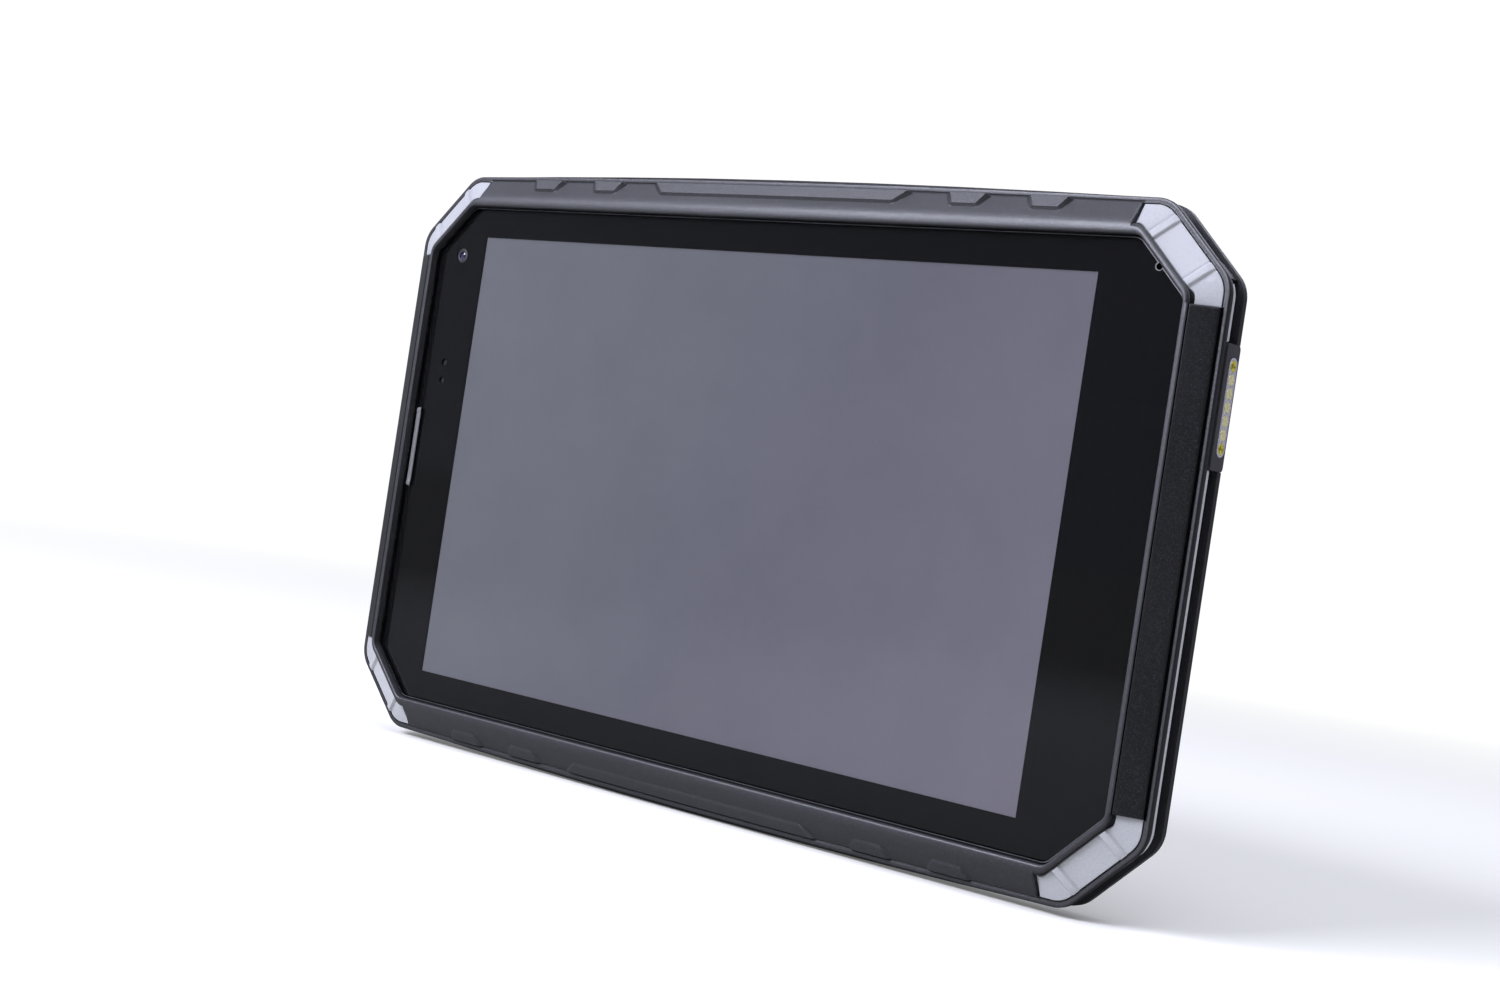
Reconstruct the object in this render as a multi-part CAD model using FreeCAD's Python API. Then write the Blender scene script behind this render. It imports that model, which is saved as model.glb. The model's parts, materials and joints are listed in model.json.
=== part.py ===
import FreeCAD, Part
import math
import os
from FreeCAD import Vector

# Rugged 8 inch data collector (tablet form), built as separate solids.
# X runs along the long side (+X is the right seen from the front), Y into the
# device (the front faces -Y), Z up. The working frame has the glass surface at
# y = 0 and the housing centre at x = z = 0. save() moves each piece so that the
# origin is the centre of the bounding box's bottom face. All in millimetres.

X_AXIS = Vector(1, 0, 0)
Y_AXIS = Vector(0, 1, 0)
Z_AXIS = Vector(0, 0, 1)


# ---- outline rings ----------------------------------------------------------
def ring(half_w, half_h, chamfer, radius, crown=0.0):
    """Octagonal outline: half sizes in X and Z, corner chamfer leg, fillet
    radius, and how far the long sides bow outwards."""
    return dict(half_w=half_w, half_h=half_h, chamfer=chamfer, radius=radius, crown=crown)


def grow(base, distance):
    """The same ring moved outwards, perpendicular on every side."""
    return ring(base["half_w"] + distance, base["half_h"] + distance,
                base["chamfer"] + distance * (2.0 - math.sqrt(2.0)),
                base["radius"] + distance, base["crown"])


GLASS = ring(103.9, 60.8, 11.3, 3.0)
LIP_IN = ring(104.25, 61.15, 11.42, 3.2)
LIP_TOP_IN = ring(104.55, 61.45, 11.5, 3.3)
LIP_TOP_OUT = ring(105.25, 62.2, 11.8, 3.7, 0.1)
LIP_OUT = ring(105.9, 63.0, 12.1, 4.2, 0.2)
SLOPE_END = ring(110.75, 67.75, 14.35, 6.0, 0.55)
GROOVE_OUT = ring(111.15, 68.2, 14.6, 6.4, 0.65)
RIM = ring(111.9, 69.0, 15.2, 7.0, 0.9)
RECESS = ring(104.6, 61.6, 12.2, 3.2)          # across front and mid frames
MID = ring(111.6, 69.15, 15.55, 7.0, 1.35)
CHANNEL = ring(110.0, 69.15, 15.6, 6.4, 1.35)
STRIP = ring(111.45, 69.15, 15.7, 7.0, 1.35)
MID_CAVITY = ring(107.4, 65.6, 14.6, 4.0, 0.6)
BACK = ring(111.7, 69.0, 15.3, 7.0, 0.9)
BACK_FACE = ring(107.9, 65.2, 13.7, 5.4, 0.9)
BACK_CAVITY = ring(108.6, 66.4, 14.6, 5.0, 0.7)
BACK_CAVITY_END = ring(105.6, 63.4, 13.2, 4.4, 0.7)
SEAL_OUT = ring(109.6, 67.6, 15.2, 5.6, 0.9)
SEAL_IN = grow(SEAL_OUT, -0.8)

# ---- depths -----------------------------------------------------------------
Y_LIP = -1.5                 # front of the raised lip
Y_LIP_SHOULDER = -0.95
Y_SLOPE_END = 2.0
Y_RIM = 2.3
Y_FRONT_BACK = 3.6           # front housing meets the mid frame
Y_MID_EDGE = 4.4
Y_STRIP = 5.8
Y_MID_BACK = 8.5             # mid frame meets the back cover
Y_BACK_EDGE = 10.0
Y_BACK = 13.0                # rear face
GLASS_T = 1.1
Y_MODULE = 2.36              # front of the modules behind the glass ledge
Y_MODULE_BACK = 4.2
Y_ON_BOARD = 6.62            # just behind the main board
Y_WINDOW = 12.22             # front of the rear windows
HALF_DEPTH_POINT = (Y_LIP + Y_BACK) / 2.0
HALF_Z = MID["half_h"] + MID["crown"]          # crowned long side at its apex
GAP = 0.06                   # assembly gap between fixed neighbours

# ---- shared places, (x, z) --------------------------------------------------
CAM_X, CAM_Z = -96.2, 48.9                     # front camera
SENSOR_X, SENSOR_ZS = -96.8, (22.15, 17.7)
SENSOR_MID_Z = sum(SENSOR_ZS) / 2.0
EAR_X0, EAR_X1, EAR_Z0, EAR_Z1 = -103.85, -101.95, -9.2, 10.0   # glass notch
EAR_X, EAR_Z = (EAR_X0 + EAR_X1) / 2.0, (EAR_Z0 + EAR_Z1) / 2.0
MIC_X, MIC_Z = 97.85, 55.6                     # hole in the glass
MIC_PORT_X, MIC_PORT_Z = MIC_X - 1.6, MIC_Z - 1.6
CASE_SCREWS = [(-99.0, 47.0), (99.0, 47.0), (-99.0, -47.0), (99.0, -47.0),
               (-42.0, 61.5), (48.0, 61.5), (-42.0, -61.5), (48.0, -61.5)]
BOARD_SCREWS = [(-92.0, 36.0), (-30.0, 55.0), (30.0, 30.0), (92.0, 33.0)]
ACCESSORY_DX, ACCESSORY_DZ, ACCESSORY_BORE_R = 38.1, 30.2, 2.0
ACCESSORY_POINTS = [(x * ACCESSORY_DX / 2.0, z * ACCESSORY_DZ / 2.0)
                    for x in (-1, 1) for z in (-1, 1)]
REAR_CAM_X, REAR_CAM_Z = 78.0, 47.0
FLASH_X, FLASH_Z = 60.5, 47.0
SPEAKER_X, SPEAKER_Z = 70.0, -47.0
DISPLAY_X = -2.15                              # display is left of the centre
OPENING_X0, OPENING_X1, OPENING_HALF_Z = -94.6, 90.4, 58.2

# keys on the top edge: (x, length)
KEYS = {"power_key": (-58.0, 11.0), "function_key_1": (24.0, 9.0),
        "function_key_2": (42.0, 9.0)}
KEY_Y, KEY_W = 6.0, 3.2
ROCKER_X, ROCKER_L = -15.0, 24.0
AXLE_Z, AXLE_R = 68.0, 0.41

# interface door on the left side
DOOR_X, DOOR_HALF = -111.55, 22.0              # outer face, half length in Z
HINGE_X, HINGE_Y, PIN_R = -110.6, 7.75, 0.4
PIN_HALF = DOOR_HALF - 1.0
USB_Y, USB_Z = 6.72, 7.5
JACK_Y, JACK_Z = 6.75, -6.5
CARD_Z = -13.6

# dock connector on the right side
DOCK_X0, DOCK_X1 = 108.2, 111.8
DOCK_Y0, DOCK_Y1 = 5.0, 10.2
DOCK_Z0, DOCK_Z1 = 18.2, 42.4
DOCK_TAIL_Y0, DOCK_TAIL_Y1, DOCK_TAIL_Z0, DOCK_TAIL_Z1 = 5.3, 8.2, 20.0, 40.6
DOCK_Y, DOCK_Z, DOCK_PITCH, DOCK_BORE_R = 8.2, 30.4, 2.64, 0.6


# ---- shape helpers ----------------------------------------------------------
def unit(vector):
    return vector * (1.0 / vector.Length)


def ring_wire(outline, y):
    """Closed octagon with filleted corners at depth y."""
    half_w, half_h, chamfer, radius, crown = outline.values()
    in_w, in_h = half_w - chamfer, half_h - chamfer
    corners = [Vector(x, y, z) for x, z in (
        (in_w, half_h), (half_w, in_h), (half_w, -in_h), (in_w, -half_h),
        (-in_w, -half_h), (-half_w, -in_h), (-half_w, in_h), (-in_w, half_h))]
    half_turn = math.radians(22.5)
    tangent = radius * math.tan(half_turn)
    inset = radius / math.cos(half_turn) - radius
    arcs = []
    for i, corner in enumerate(corners):
        to_last = unit(corners[i - 1] - corner)
        to_next = unit(corners[(i + 1) % 8] - corner)
        arcs.append((corner + to_last * tangent, corner + unit(to_last + to_next) * inset,
                     corner + to_next * tangent))
    edges = []
    for i, arc in enumerate(arcs):
        edges.append(Part.Arc(*arc).toShape())
        start, end = arc[2], arcs[(i + 1) % 8][0]
        if i in (3, 7) and crown > 0:          # bottom and top long sides
            apex = Vector(0, y, start.z + math.copysign(crown, start.z))
            edges.append(Part.Arc(start, apex, end).toShape())
        else:
            edges.append(Part.makeLine(start, end))
    return Part.Wire(edges)


def prism(outline, y0, y1):
    return Part.Face(ring_wire(outline, y0)).extrude(Vector(0, y1 - y0, 0))


def loft(ring0, y0, ring1, y1):
    """Ruled solid between two rings."""
    return Part.makeLoft([ring_wire(ring0, y0), ring_wire(ring1, y1)], True, True)


def box(x0, x1, y0, y1, z0, z1):
    return Part.makeBox(x1 - x0, y1 - y0, z1 - z0, Vector(x0, y0, z0))


def side_box(side, x0, x1, y0, y1, z0, z1):
    """Box on the right (side 1) or mirrored to the left (side -1)."""
    near, far = sorted((side * x0, side * x1))
    return box(near, far, y0, y1, z0, z1)


def round_box(x0, x1, y0, y1, z0, z1, radius, axis="y"):
    """Box with its four edges along one axis filleted."""
    block = box(x0, x1, y0, y1, z0, z1)
    edges = [e for e in block.Edges
             if abs(getattr(e.Vertexes[1].Point - e.Vertexes[0].Point, axis)) > 1e-6]
    return block.makeFillet(radius, edges)


def cyl(x, y, z, radius, height, axis=Y_AXIS):
    return Part.makeCylinder(radius, height, Vector(x, y, z), axis)


def cyls(points, y, radius, height):
    """One cylinder along Y at each (x, z) point."""
    return [cyl(x, y, z, radius, height) for x, z in points]


def polygon(points, sweep):
    return Part.Face(Part.makePolygon(points + points[:1])).extrude(sweep)


def polygon_y(points, y0, y1):
    """Prism of an XZ polygon between two depths."""
    return polygon([Vector(x, y0, z) for x, z in points], Vector(0, y1 - y0, 0))


def stadium(centre, long_axis, short_axis, length, width, sweep):
    end = width / 2.0
    half = length / 2.0 - end

    def at(along, across):
        return centre + long_axis * along + short_axis * across

    edges = [Part.makeLine(at(-half, -end), at(half, -end)),
             Part.Arc(at(half, -end), at(half + end, 0), at(half, end)).toShape(),
             Part.makeLine(at(half, end), at(-half, end)),
             Part.Arc(at(-half, end), at(-half - end, 0), at(-half, -end)).toShape()]
    return Part.Face(Part.Wire(edges)).extrude(sweep)


def stadium_x(y, z, length, width, x0, x1):
    """Stadium bar along X, its length along Z."""
    return stadium(Vector(x0, y, z), Z_AXIS, Y_AXIS, length, width, X_AXIS * (x1 - x0))


def stadium_y(x, z, length, width, y0, y1, long_axis=Z_AXIS):
    """Stadium bar along Y, its length along Z or X."""
    short_axis = X_AXIS if long_axis is Z_AXIS else Z_AXIS
    return stadium(Vector(x, y0, z), long_axis, short_axis, length, width, Y_AXIS * (y1 - y0))


def stadium_z(x, y, length, width, z0, z1):
    """Stadium bar along Z, its length along X."""
    return stadium(Vector(x, y, z0), X_AXIS, Y_AXIS, length, width, Z_AXIS * (z1 - z0))


def fuse(shapes):
    return shapes[0].fuse(shapes[1:]).removeSplitter()


os.makedirs("parts", exist_ok=True)


def save(name, shape):
    """Move a piece into the final frame and write it."""
    moved = shape.copy()
    moved.translate(Vector(0, -HALF_DEPTH_POINT, HALF_Z))
    if moved.ShapeType == "Compound" and len(moved.Solids) == 1:
        moved = moved.Solids[0]
    moved.exportStep("parts/%s.step" % name)


# ---- corner caps and side panels on the sloping land ------------------------
CAP_X, CAP_Z = 90.8, 48.6    # inner ends of the corner caps
CAP_SINK = 0.3               # cap surface below the slope
CAP_T = 1.1
PANEL_T = 1.1
PANEL_HALF_Z = 48.4
SLOPE_COS = 0.85             # turns a thickness into a shift along Y
CORNERS = {"tl": (-1, 1), "tr": (1, 1), "bl": (-1, -1), "br": (1, -1)}
# centre lines of the two ribs on a cap, (x, z) to (x, z) in the +X +Z corner
CAP_RIBS = [((94.4, 60.4), (99.2, 65.3)), ((103.7, 52.2), (108.6, 57.0))]
RIB_HALF_W = 0.85


def under_slope(shift):
    """Everything behind the sloping land, moved back by shift. The slope is
    also carried on inwards, under the lip."""
    extension = 1.2
    fraction = extension / 3.0

    def extend(key):
        return LIP_OUT[key] - fraction * (SLOPE_END[key] - LIP_OUT[key])

    inner = ring(extend("half_w"), extend("half_h"), extend("chamfer"),
                 LIP_OUT["radius"] - extension * 0.5, LIP_OUT["crown"])
    y_inner = Y_LIP_SHOULDER - fraction * (Y_SLOPE_END - Y_LIP_SHOULDER)
    slope = loft(inner, y_inner + shift, SLOPE_END, Y_SLOPE_END + shift)
    return slope.fuse(prism(SLOPE_END, Y_SLOPE_END + shift, Y_SLOPE_END + shift + 4.0))


def land_zone(outer_gap, inner_gap):
    """Band between the lip and the outer end of the slope."""
    return prism(grow(SLOPE_END, -outer_gap), -3.0, 4.0).cut(
        prism(grow(LIP_OUT, inner_gap), -3.5, 4.5))


def corner_box(side, up, gap):
    z0, z1 = sorted((up * (CAP_Z - gap), up * 80.0))
    return side_box(side, CAP_X - gap, 120.0, -3.0, 3.4, z0, z1)


def corner_cap(side, up):
    body = corner_box(side, up, 0.0).common(land_zone(GAP, 0.25))
    cap = body.common(under_slope(CAP_SINK / SLOPE_COS)).cut(
        under_slope((CAP_SINK + CAP_T) / SLOPE_COS))
    ribs = []
    for (x0, z0), (x1, z1) in CAP_RIBS:
        start, end = Vector(side * x0, 0, up * z0), Vector(side * x1, 0, up * z1)
        along = unit(end - start)
        across = Vector(-along.z, 0, along.x) * RIB_HALF_W
        outline = [start + across, end + across, end - across, start - across]
        rib = polygon_y([(p.x, p.z) for p in outline], -3.0, 3.0)
        ribs.append(rib.common(body).common(under_slope(-0.02)).cut(
            under_slope(CAP_SINK / SLOPE_COS + 0.1)))
    return cap.fuse(ribs)


def side_panel(side):
    body = side_box(side, 100.0, 120.0, -3.0, 3.4, -PANEL_HALF_Z, PANEL_HALF_Z)
    return body.common(land_zone(0.42, 0.3)).common(under_slope(-0.1)).cut(
        under_slope(PANEL_T / SLOPE_COS))


def land_pockets():
    """Room in the front frame for the caps and the side panels."""
    pockets = []
    for side, up in CORNERS.values():
        pockets.append(corner_box(side, up, GAP).common(land_zone(0.0, 0.19)).cut(
            under_slope((CAP_SINK + CAP_T) / SLOPE_COS + GAP)))
    half_z = PANEL_HALF_Z + GAP
    for side in (-1, 1):
        body = side_box(side, 100.0, 120.0, -3.0, 3.4, -half_z, half_z)
        pockets.append(body.common(land_zone(0.02, 0.24)).cut(
            under_slope(PANEL_T / SLOPE_COS + GAP)))
    return pockets


for name, (side, up) in CORNERS.items():
    save("corner_cap_" + name, corner_cap(side, up))
save("side_panel_left", side_panel(-1))
save("side_panel_right", side_panel(1))

# ---- front frame ------------------------------------------------------------
# bumps on each long side: (x, width at the rim end, width at the lip end)
BUMPS = [(0.0, 73.0, 66.0), (50.5, 11.0, 7.2), (70.0, 11.0, 7.2),
         (-50.5, 11.0, 7.2), (-70.0, 11.0, 7.2)]
BUMP_PROFILE = [(0.45, 65.2), (1.15, 68.0), (2.2, 68.05), (2.2, 65.2)]   # (y, z)


def grip_bumps():
    """Wedges that grow towards the rim."""
    bumps = []
    for up in (1, -1):
        for bump_x, rim_w, lip_w in BUMPS:
            wedge = polygon([Vector(bump_x - 60, y, z * up) for y, z in BUMP_PROFILE],
                            Vector(120, 0, 0))
            outline = [(bump_x - rim_w / 2, 68.1 * up), (bump_x + rim_w / 2, 68.1 * up),
                       (bump_x + lip_w / 2, 65.3 * up), (bump_x - lip_w / 2, 65.3 * up)]
            bumps.append(wedge.common(polygon_y(outline, -1.0, 2.3)))
    return bumps


def front_frame():
    frame = fuse([
        loft(LIP_TOP_OUT, Y_LIP, LIP_OUT, Y_LIP_SHOULDER),
        loft(LIP_OUT, Y_LIP_SHOULDER, SLOPE_END, Y_SLOPE_END),
        loft(SLOPE_END, Y_SLOPE_END, SLOPE_END, Y_SLOPE_END + 0.45),
        prism(RIM, Y_RIM + 0.15, Y_FRONT_BACK),
        loft(grow(RIM, -0.15), Y_RIM, RIM, Y_RIM + 0.15)])
    # narrow groove between the slope and the rim
    frame = frame.cut(prism(GROOVE_OUT, Y_RIM - 1.0, Y_RIM + 0.35).cut(
        prism(SLOPE_END, Y_RIM - 1.2, Y_RIM + 0.5)))
    frame = frame.fuse(grip_bumps())
    frame = frame.cut([
        loft(LIP_TOP_IN, Y_LIP - 0.01, LIP_IN, Y_LIP + 0.45),
        prism(LIP_IN, Y_LIP + 0.4, 1.3),
        round_box(OPENING_X0, OPENING_X1, -3.0, 5.0, -OPENING_HALF_Z, OPENING_HALF_Z, 1.5),
        prism(RECESS, 2.3, 4.0),
        cyl(CAM_X, 0.5, CAM_Z, 3.0, 3.0),
        stadium_y(SENSOR_X, SENSOR_MID_Z, 8.2, 2.6, 0.5, 3.0),
        stadium_y(EAR_X + 0.4, EAR_Z, 12.0, 1.6, 0.5, 3.0),
        cyl(MIC_PORT_X, 0.5, MIC_PORT_Z, 0.5, 3.0)])
    return frame.cut(land_pockets())


save("front_frame", front_frame())


# ---- mid frame --------------------------------------------------------------
def key_room(x, length, slot_extra, skirt_extra):
    """Slot, skirt pocket and switch room for one key."""
    return [stadium_z(x, KEY_Y, length + slot_extra, KEY_W + 0.12, 66.0, 73.0),
            stadium_z(x, KEY_Y, length + skirt_extra, KEY_W + 1.3, 65.0, 68.3),
            box(x - length / 2 - 0.6, x + length / 2 + 0.6, KEY_Y - 1.0, Y_MID_BACK + 0.1,
                64.0, 67.4)]


def mid_body():
    """Edge band, channelled core, web, bosses and slots."""
    frame = prism(MID, Y_FRONT_BACK + 0.02, Y_MID_EDGE).fuse(
        prism(CHANNEL, Y_MID_EDGE - 0.01, Y_MID_BACK))
    frame = frame.cut([prism(MID_CAVITY, 5.0, 9.0), prism(RECESS, 3.0, 4.3)])
    # knuckles in the side channels, near the upper chamfers
    limit = prism(grow(MID, -0.35), 3.7, Y_MID_BACK)
    frame = frame.fuse([cyl(side * 108.4, Y_MID_EDGE - 0.2, 55.9, 2.0, 4.3).common(limit)
                        for side in (-1, 1)])
    frame = frame.fuse(cyls(CASE_SCREWS, 4.9, 3.0, Y_MID_BACK - 4.9)
                       + cyls(BOARD_SCREWS, 4.9, 2.2, 0.7))
    frame = frame.cut(cyls(CASE_SCREWS, 5.0, 2.02, 4.0))
    frame = frame.cut(cyls(BOARD_SCREWS, 5.02, 0.85, 0.7))
    # slots through the web: display flex, left side, front camera
    return frame.cut([round_box(-20.0, 20.0, 4.0, 5.4, 58.6, 60.2, 0.6),
                      box(-102.5, -97.5, 4.0, 5.4, -2.0, 2.0),
                      box(-99.0, -93.6, 4.0, 5.4, 43.6, 45.2)])


def mid_frame():
    frame = mid_body()
    for x, length in KEYS.values():
        frame = frame.cut(key_room(x, length, 0.12, 1.4))
    frame = frame.cut(key_room(ROCKER_X, ROCKER_L, 0.3, 2.2))
    frame = frame.cut(cyl(ROCKER_X, KEY_Y - 2.27, AXLE_Z, AXLE_R + 0.005, 4.66))
    # door pocket, hinge ears and pin bore
    frame = frame.cut(box(-115.0, -109.55, Y_MID_EDGE + 0.15, Y_MID_BACK + 0.1,
                          -DOOR_HALF - 0.1, DOOR_HALF + 0.1))
    ears = []
    for z0, z1 in ((-DOOR_HALF - 0.15, -DOOR_HALF + 4.1), (DOOR_HALF - 4.1, DOOR_HALF + 0.15)):
        ears.append(cyl(HINGE_X, HINGE_Y, z0, 0.72, z1 - z0, Z_AXIS))
        ears.append(box(HINGE_X - 0.35, -109.5, HINGE_Y, Y_MID_BACK, z0, z1))
    frame = frame.fuse(ears)
    frame = frame.cut(cyl(HINGE_X, HINGE_Y, -PIN_HALF - 0.02, PIN_R + 0.005,
                          2 * PIN_HALF + 0.04, Z_AXIS))
    # connector holes behind the door
    frame = frame.cut([stadium_x(USB_Y, USB_Z, 9.12, 3.32, -112.0, -107.0),
                       cyl(-112.0, JACK_Y, JACK_Z, 1.66, 6.0, X_AXIS)])
    # dock seat and the opening for its tail
    frame = frame.cut(box(DOCK_X0 - 0.1, 114.0, DOCK_Y0 - GAP, 9.0, DOCK_Z0 - GAP, DOCK_Z1 + GAP))
    return frame.cut(box(105.0, 110.0, DOCK_TAIL_Y0 - GAP, DOCK_TAIL_Y1 + GAP,
                         DOCK_TAIL_Z0 - GAP, DOCK_TAIL_Z1 + GAP))


save("mid_frame", mid_frame())


# ---- keys, rocker, seals and switches on the top edge -----------------------
def crown_z(x):
    """Height of the crowned top edge, taken as a parabola."""
    return MID["half_h"] + MID["crown"] * (1.0 - (x / 93.0) ** 2)


def key_body(x, length, top, skirt_length, skirt_width, skirt_z0, skirt_z1):
    """Key with a rounded top and a wider skirt below."""
    key = stadium_z(x, KEY_Y, length, KEY_W, 67.6, top)
    top_edges = [e for e in key.Edges
                 if abs(e.BoundBox.ZMin - top) < 1e-6 and abs(e.BoundBox.ZMax - top) < 1e-6]
    key = key.makeFillet(0.35, top_edges)
    return key.fuse(stadium_z(x, KEY_Y, skirt_length, skirt_width, skirt_z0, skirt_z1))


def key_seal(x, length):
    return stadium_z(x, KEY_Y, length + 1.2, KEY_W + 1.1, 67.8, 68.24).cut(
        stadium_z(x, KEY_Y, length + 0.06, KEY_W + 0.06, 67.0, 69.0))


def key_switch(x, body_top, plunger_h):
    return fuse([round_box(x - 2.2, x + 2.2, KEY_Y - 0.55, KEY_Y + 1.9, 65.66, body_top,
                           0.3, "z"),
                 cyl(x, KEY_Y + 0.3, body_top - 0.05, 0.8, plunger_h, Z_AXIS)])


def volume_rocker():
    """Rocks about a short axle that runs front to back; its top is dished."""
    top = crown_z(ROCKER_X) + 0.1
    dish_r = 60.0
    rocker = key_body(ROCKER_X, ROCKER_L, top, ROCKER_L + 1.2, KEY_W + 0.9, 67.25, 67.7)
    rocker = rocker.cut(cyl(ROCKER_X, KEY_Y - 2.0, top + dish_r - 0.2, dish_r, 4.0))
    return rocker.cut(cyl(ROCKER_X, KEY_Y - 3.0, AXLE_Z, 0.45, 6.0))


for name, (x, length) in KEYS.items():
    # nearly flush with the crowned edge
    key = key_body(x, length, crown_z(x) + 0.05, length + 1.1, KEY_W + 1.0, 67.3, 67.75)
    save(name, key.removeSplitter())
save("volume_rocker", volume_rocker())
save("rocker_axle", cyl(ROCKER_X, KEY_Y - 2.25, AXLE_Z, AXLE_R, 4.6))
save("key_seals", Part.Compound([key_seal(x, length) for x, length in KEYS.values()]))
save("key_switches", Part.Compound(
    [key_switch(x, 66.5, 0.45) for x, length in KEYS.values()]
    + [key_switch(ROCKER_X + offset, 66.35, 0.5) for offset in (-8.0, 8.0)]))


# ---- interface door and the connectors behind it ----------------------------
def io_door():
    barrel_half = DOOR_HALF - 4.2
    door = round_box(DOOR_X, -110.05, Y_MID_EDGE + 0.3, 6.93, -DOOR_HALF, DOOR_HALF, 0.5, "z")
    arm = box(-110.95, -110.25, 6.6, HINGE_Y, -barrel_half, barrel_half)
    barrel = cyl(HINGE_X, HINGE_Y, -barrel_half, 0.68, 2 * barrel_half, Z_AXIS)
    door = door.fuse([arm, barrel]).cut(
        cyl(HINGE_X, HINGE_Y, -DOOR_HALF, PIN_R + 0.03, 60.0, Z_AXIS))
    # finger notch at the front edge
    return door.cut(cyl(DOOR_X + 0.35, 4.0, 0.0, 3.2, 0.5, -X_AXIS)).removeSplitter()


def usb_c_port():
    shell = stadium_x(USB_Y, USB_Z, 9.0, 3.2, -109.4, -102.6).cut(
        stadium_x(USB_Y, USB_Z, 8.3, 2.5, -110.0, -104.0))
    tongue = box(-108.2, -103.9, USB_Y - 0.25, USB_Y + 0.25, USB_Z - 3.3, USB_Z + 3.3)
    return shell.fuse(tongue).removeSplitter()


def audio_jack():
    body = round_box(-107.3, -95.0, 5.1, 8.4, JACK_Z - 3.2, JACK_Z + 3.2, 0.5, "x")
    return body.fuse(cyl(-109.4, JACK_Y, JACK_Z, 1.6, 3.0, X_AXIS)).cut(
        cyl(-110.0, JACK_Y, JACK_Z, 1.2, 13.0, X_AXIS))


save("io_door", io_door())
save("io_door_pin", cyl(HINGE_X, HINGE_Y, -PIN_HALF, PIN_R, 2 * PIN_HALF, Z_AXIS))
save("io_door_seal", stadium_x(5.85, 0.0, 36.0, 2.4, -110.0, -109.6).cut(
    stadium_x(5.85, 0.0, 34.8, 1.2, -110.1, -109.4)))
save("usb_c_port", usb_c_port())
save("audio_jack", audio_jack())

# ---- dock connector ---------------------------------------------------------
PAD_ZS = [DOCK_Z + DOCK_PITCH * i for i in (3, 2, 1, 0, -1, -2, -3)]


def dock_block():
    block = round_box(110.0, DOCK_X1, DOCK_Y0, DOCK_Y1, DOCK_Z0, DOCK_Z1, 0.8, "x")
    block = block.fuse([
        box(DOCK_X0, 110.1, DOCK_Y0 + 0.05, 8.35, DOCK_Z0 + 0.1, DOCK_Z1 - 0.1),
        box(105.4, 108.3, DOCK_TAIL_Y0, DOCK_TAIL_Y1, DOCK_TAIL_Z0, DOCK_TAIL_Z1)])
    block = block.cut(stadium_x(DOCK_Y, DOCK_Z, 19.1, 3.26, 111.0, 113.0))
    for z in PAD_ZS:
        block = block.cut(cyl(110.2, DOCK_Y, z, 1.0, 3.0, X_AXIS))
    return block


def dock_insert():
    insert = stadium_x(DOCK_Y, DOCK_Z, 19.04, 3.2, 111.02, 111.84)
    for z in PAD_ZS:
        insert = insert.cut(cyl(110.0, DOCK_Y, z, 1.14, 3.0, X_AXIS))
    return insert


def dock_pad(z, bored):
    """Headed contact; a bored one has a countersunk hole."""
    pad = cyl(111.01, DOCK_Y, z, 1.1, 0.89, X_AXIS).fuse(
        cyl(110.22, DOCK_Y, z, 0.96, 0.8, X_AXIS))
    if bored:
        sink = Part.makeCone(DOCK_BORE_R, 0.95, 0.35, Vector(111.56, DOCK_Y, z), X_AXIS)
        pad = pad.cut([cyl(110.4, DOCK_Y, z, DOCK_BORE_R, 4.0, X_AXIS), sink])
    return pad.removeSplitter()


save("dock_block", dock_block())
save("dock_insert", dock_insert())
save("dock_pads", Part.Compound([dock_pad(z, False) for z in PAD_ZS[1:-1]]))
save("dock_sockets", Part.Compound([dock_pad(z, True) for z in (PAD_ZS[0], PAD_ZS[-1])]))


# ---- trim strips in the side channels ---------------------------------------
def trim_strip(side, gap_z0, gap_z1):
    """Strip on one side, left out between gap_z0 and gap_z1."""
    band = prism(STRIP, Y_MID_EDGE + 0.03, Y_STRIP).cut(
        prism(grow(CHANNEL, 0.03), Y_MID_EDGE - 1.0, Y_STRIP + 1.0))
    pieces = []
    for z0, z1 in ((gap_z1, 53.6), (-61.0, gap_z0)):
        strip = side_box(side, 100.0, 118.0, 3.0, 7.0, z0, z1).common(band)
        pieces += [solid for solid in strip.Solids if solid.Volume > 0.5]
    return Part.Compound(pieces)


save("trim_strip_right", trim_strip(1, DOCK_Z0 - 0.1, DOCK_Z1 + 0.1))
save("trim_strip_left", trim_strip(-1, -DOOR_HALF - 0.25, DOOR_HALF + 0.25))


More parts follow.
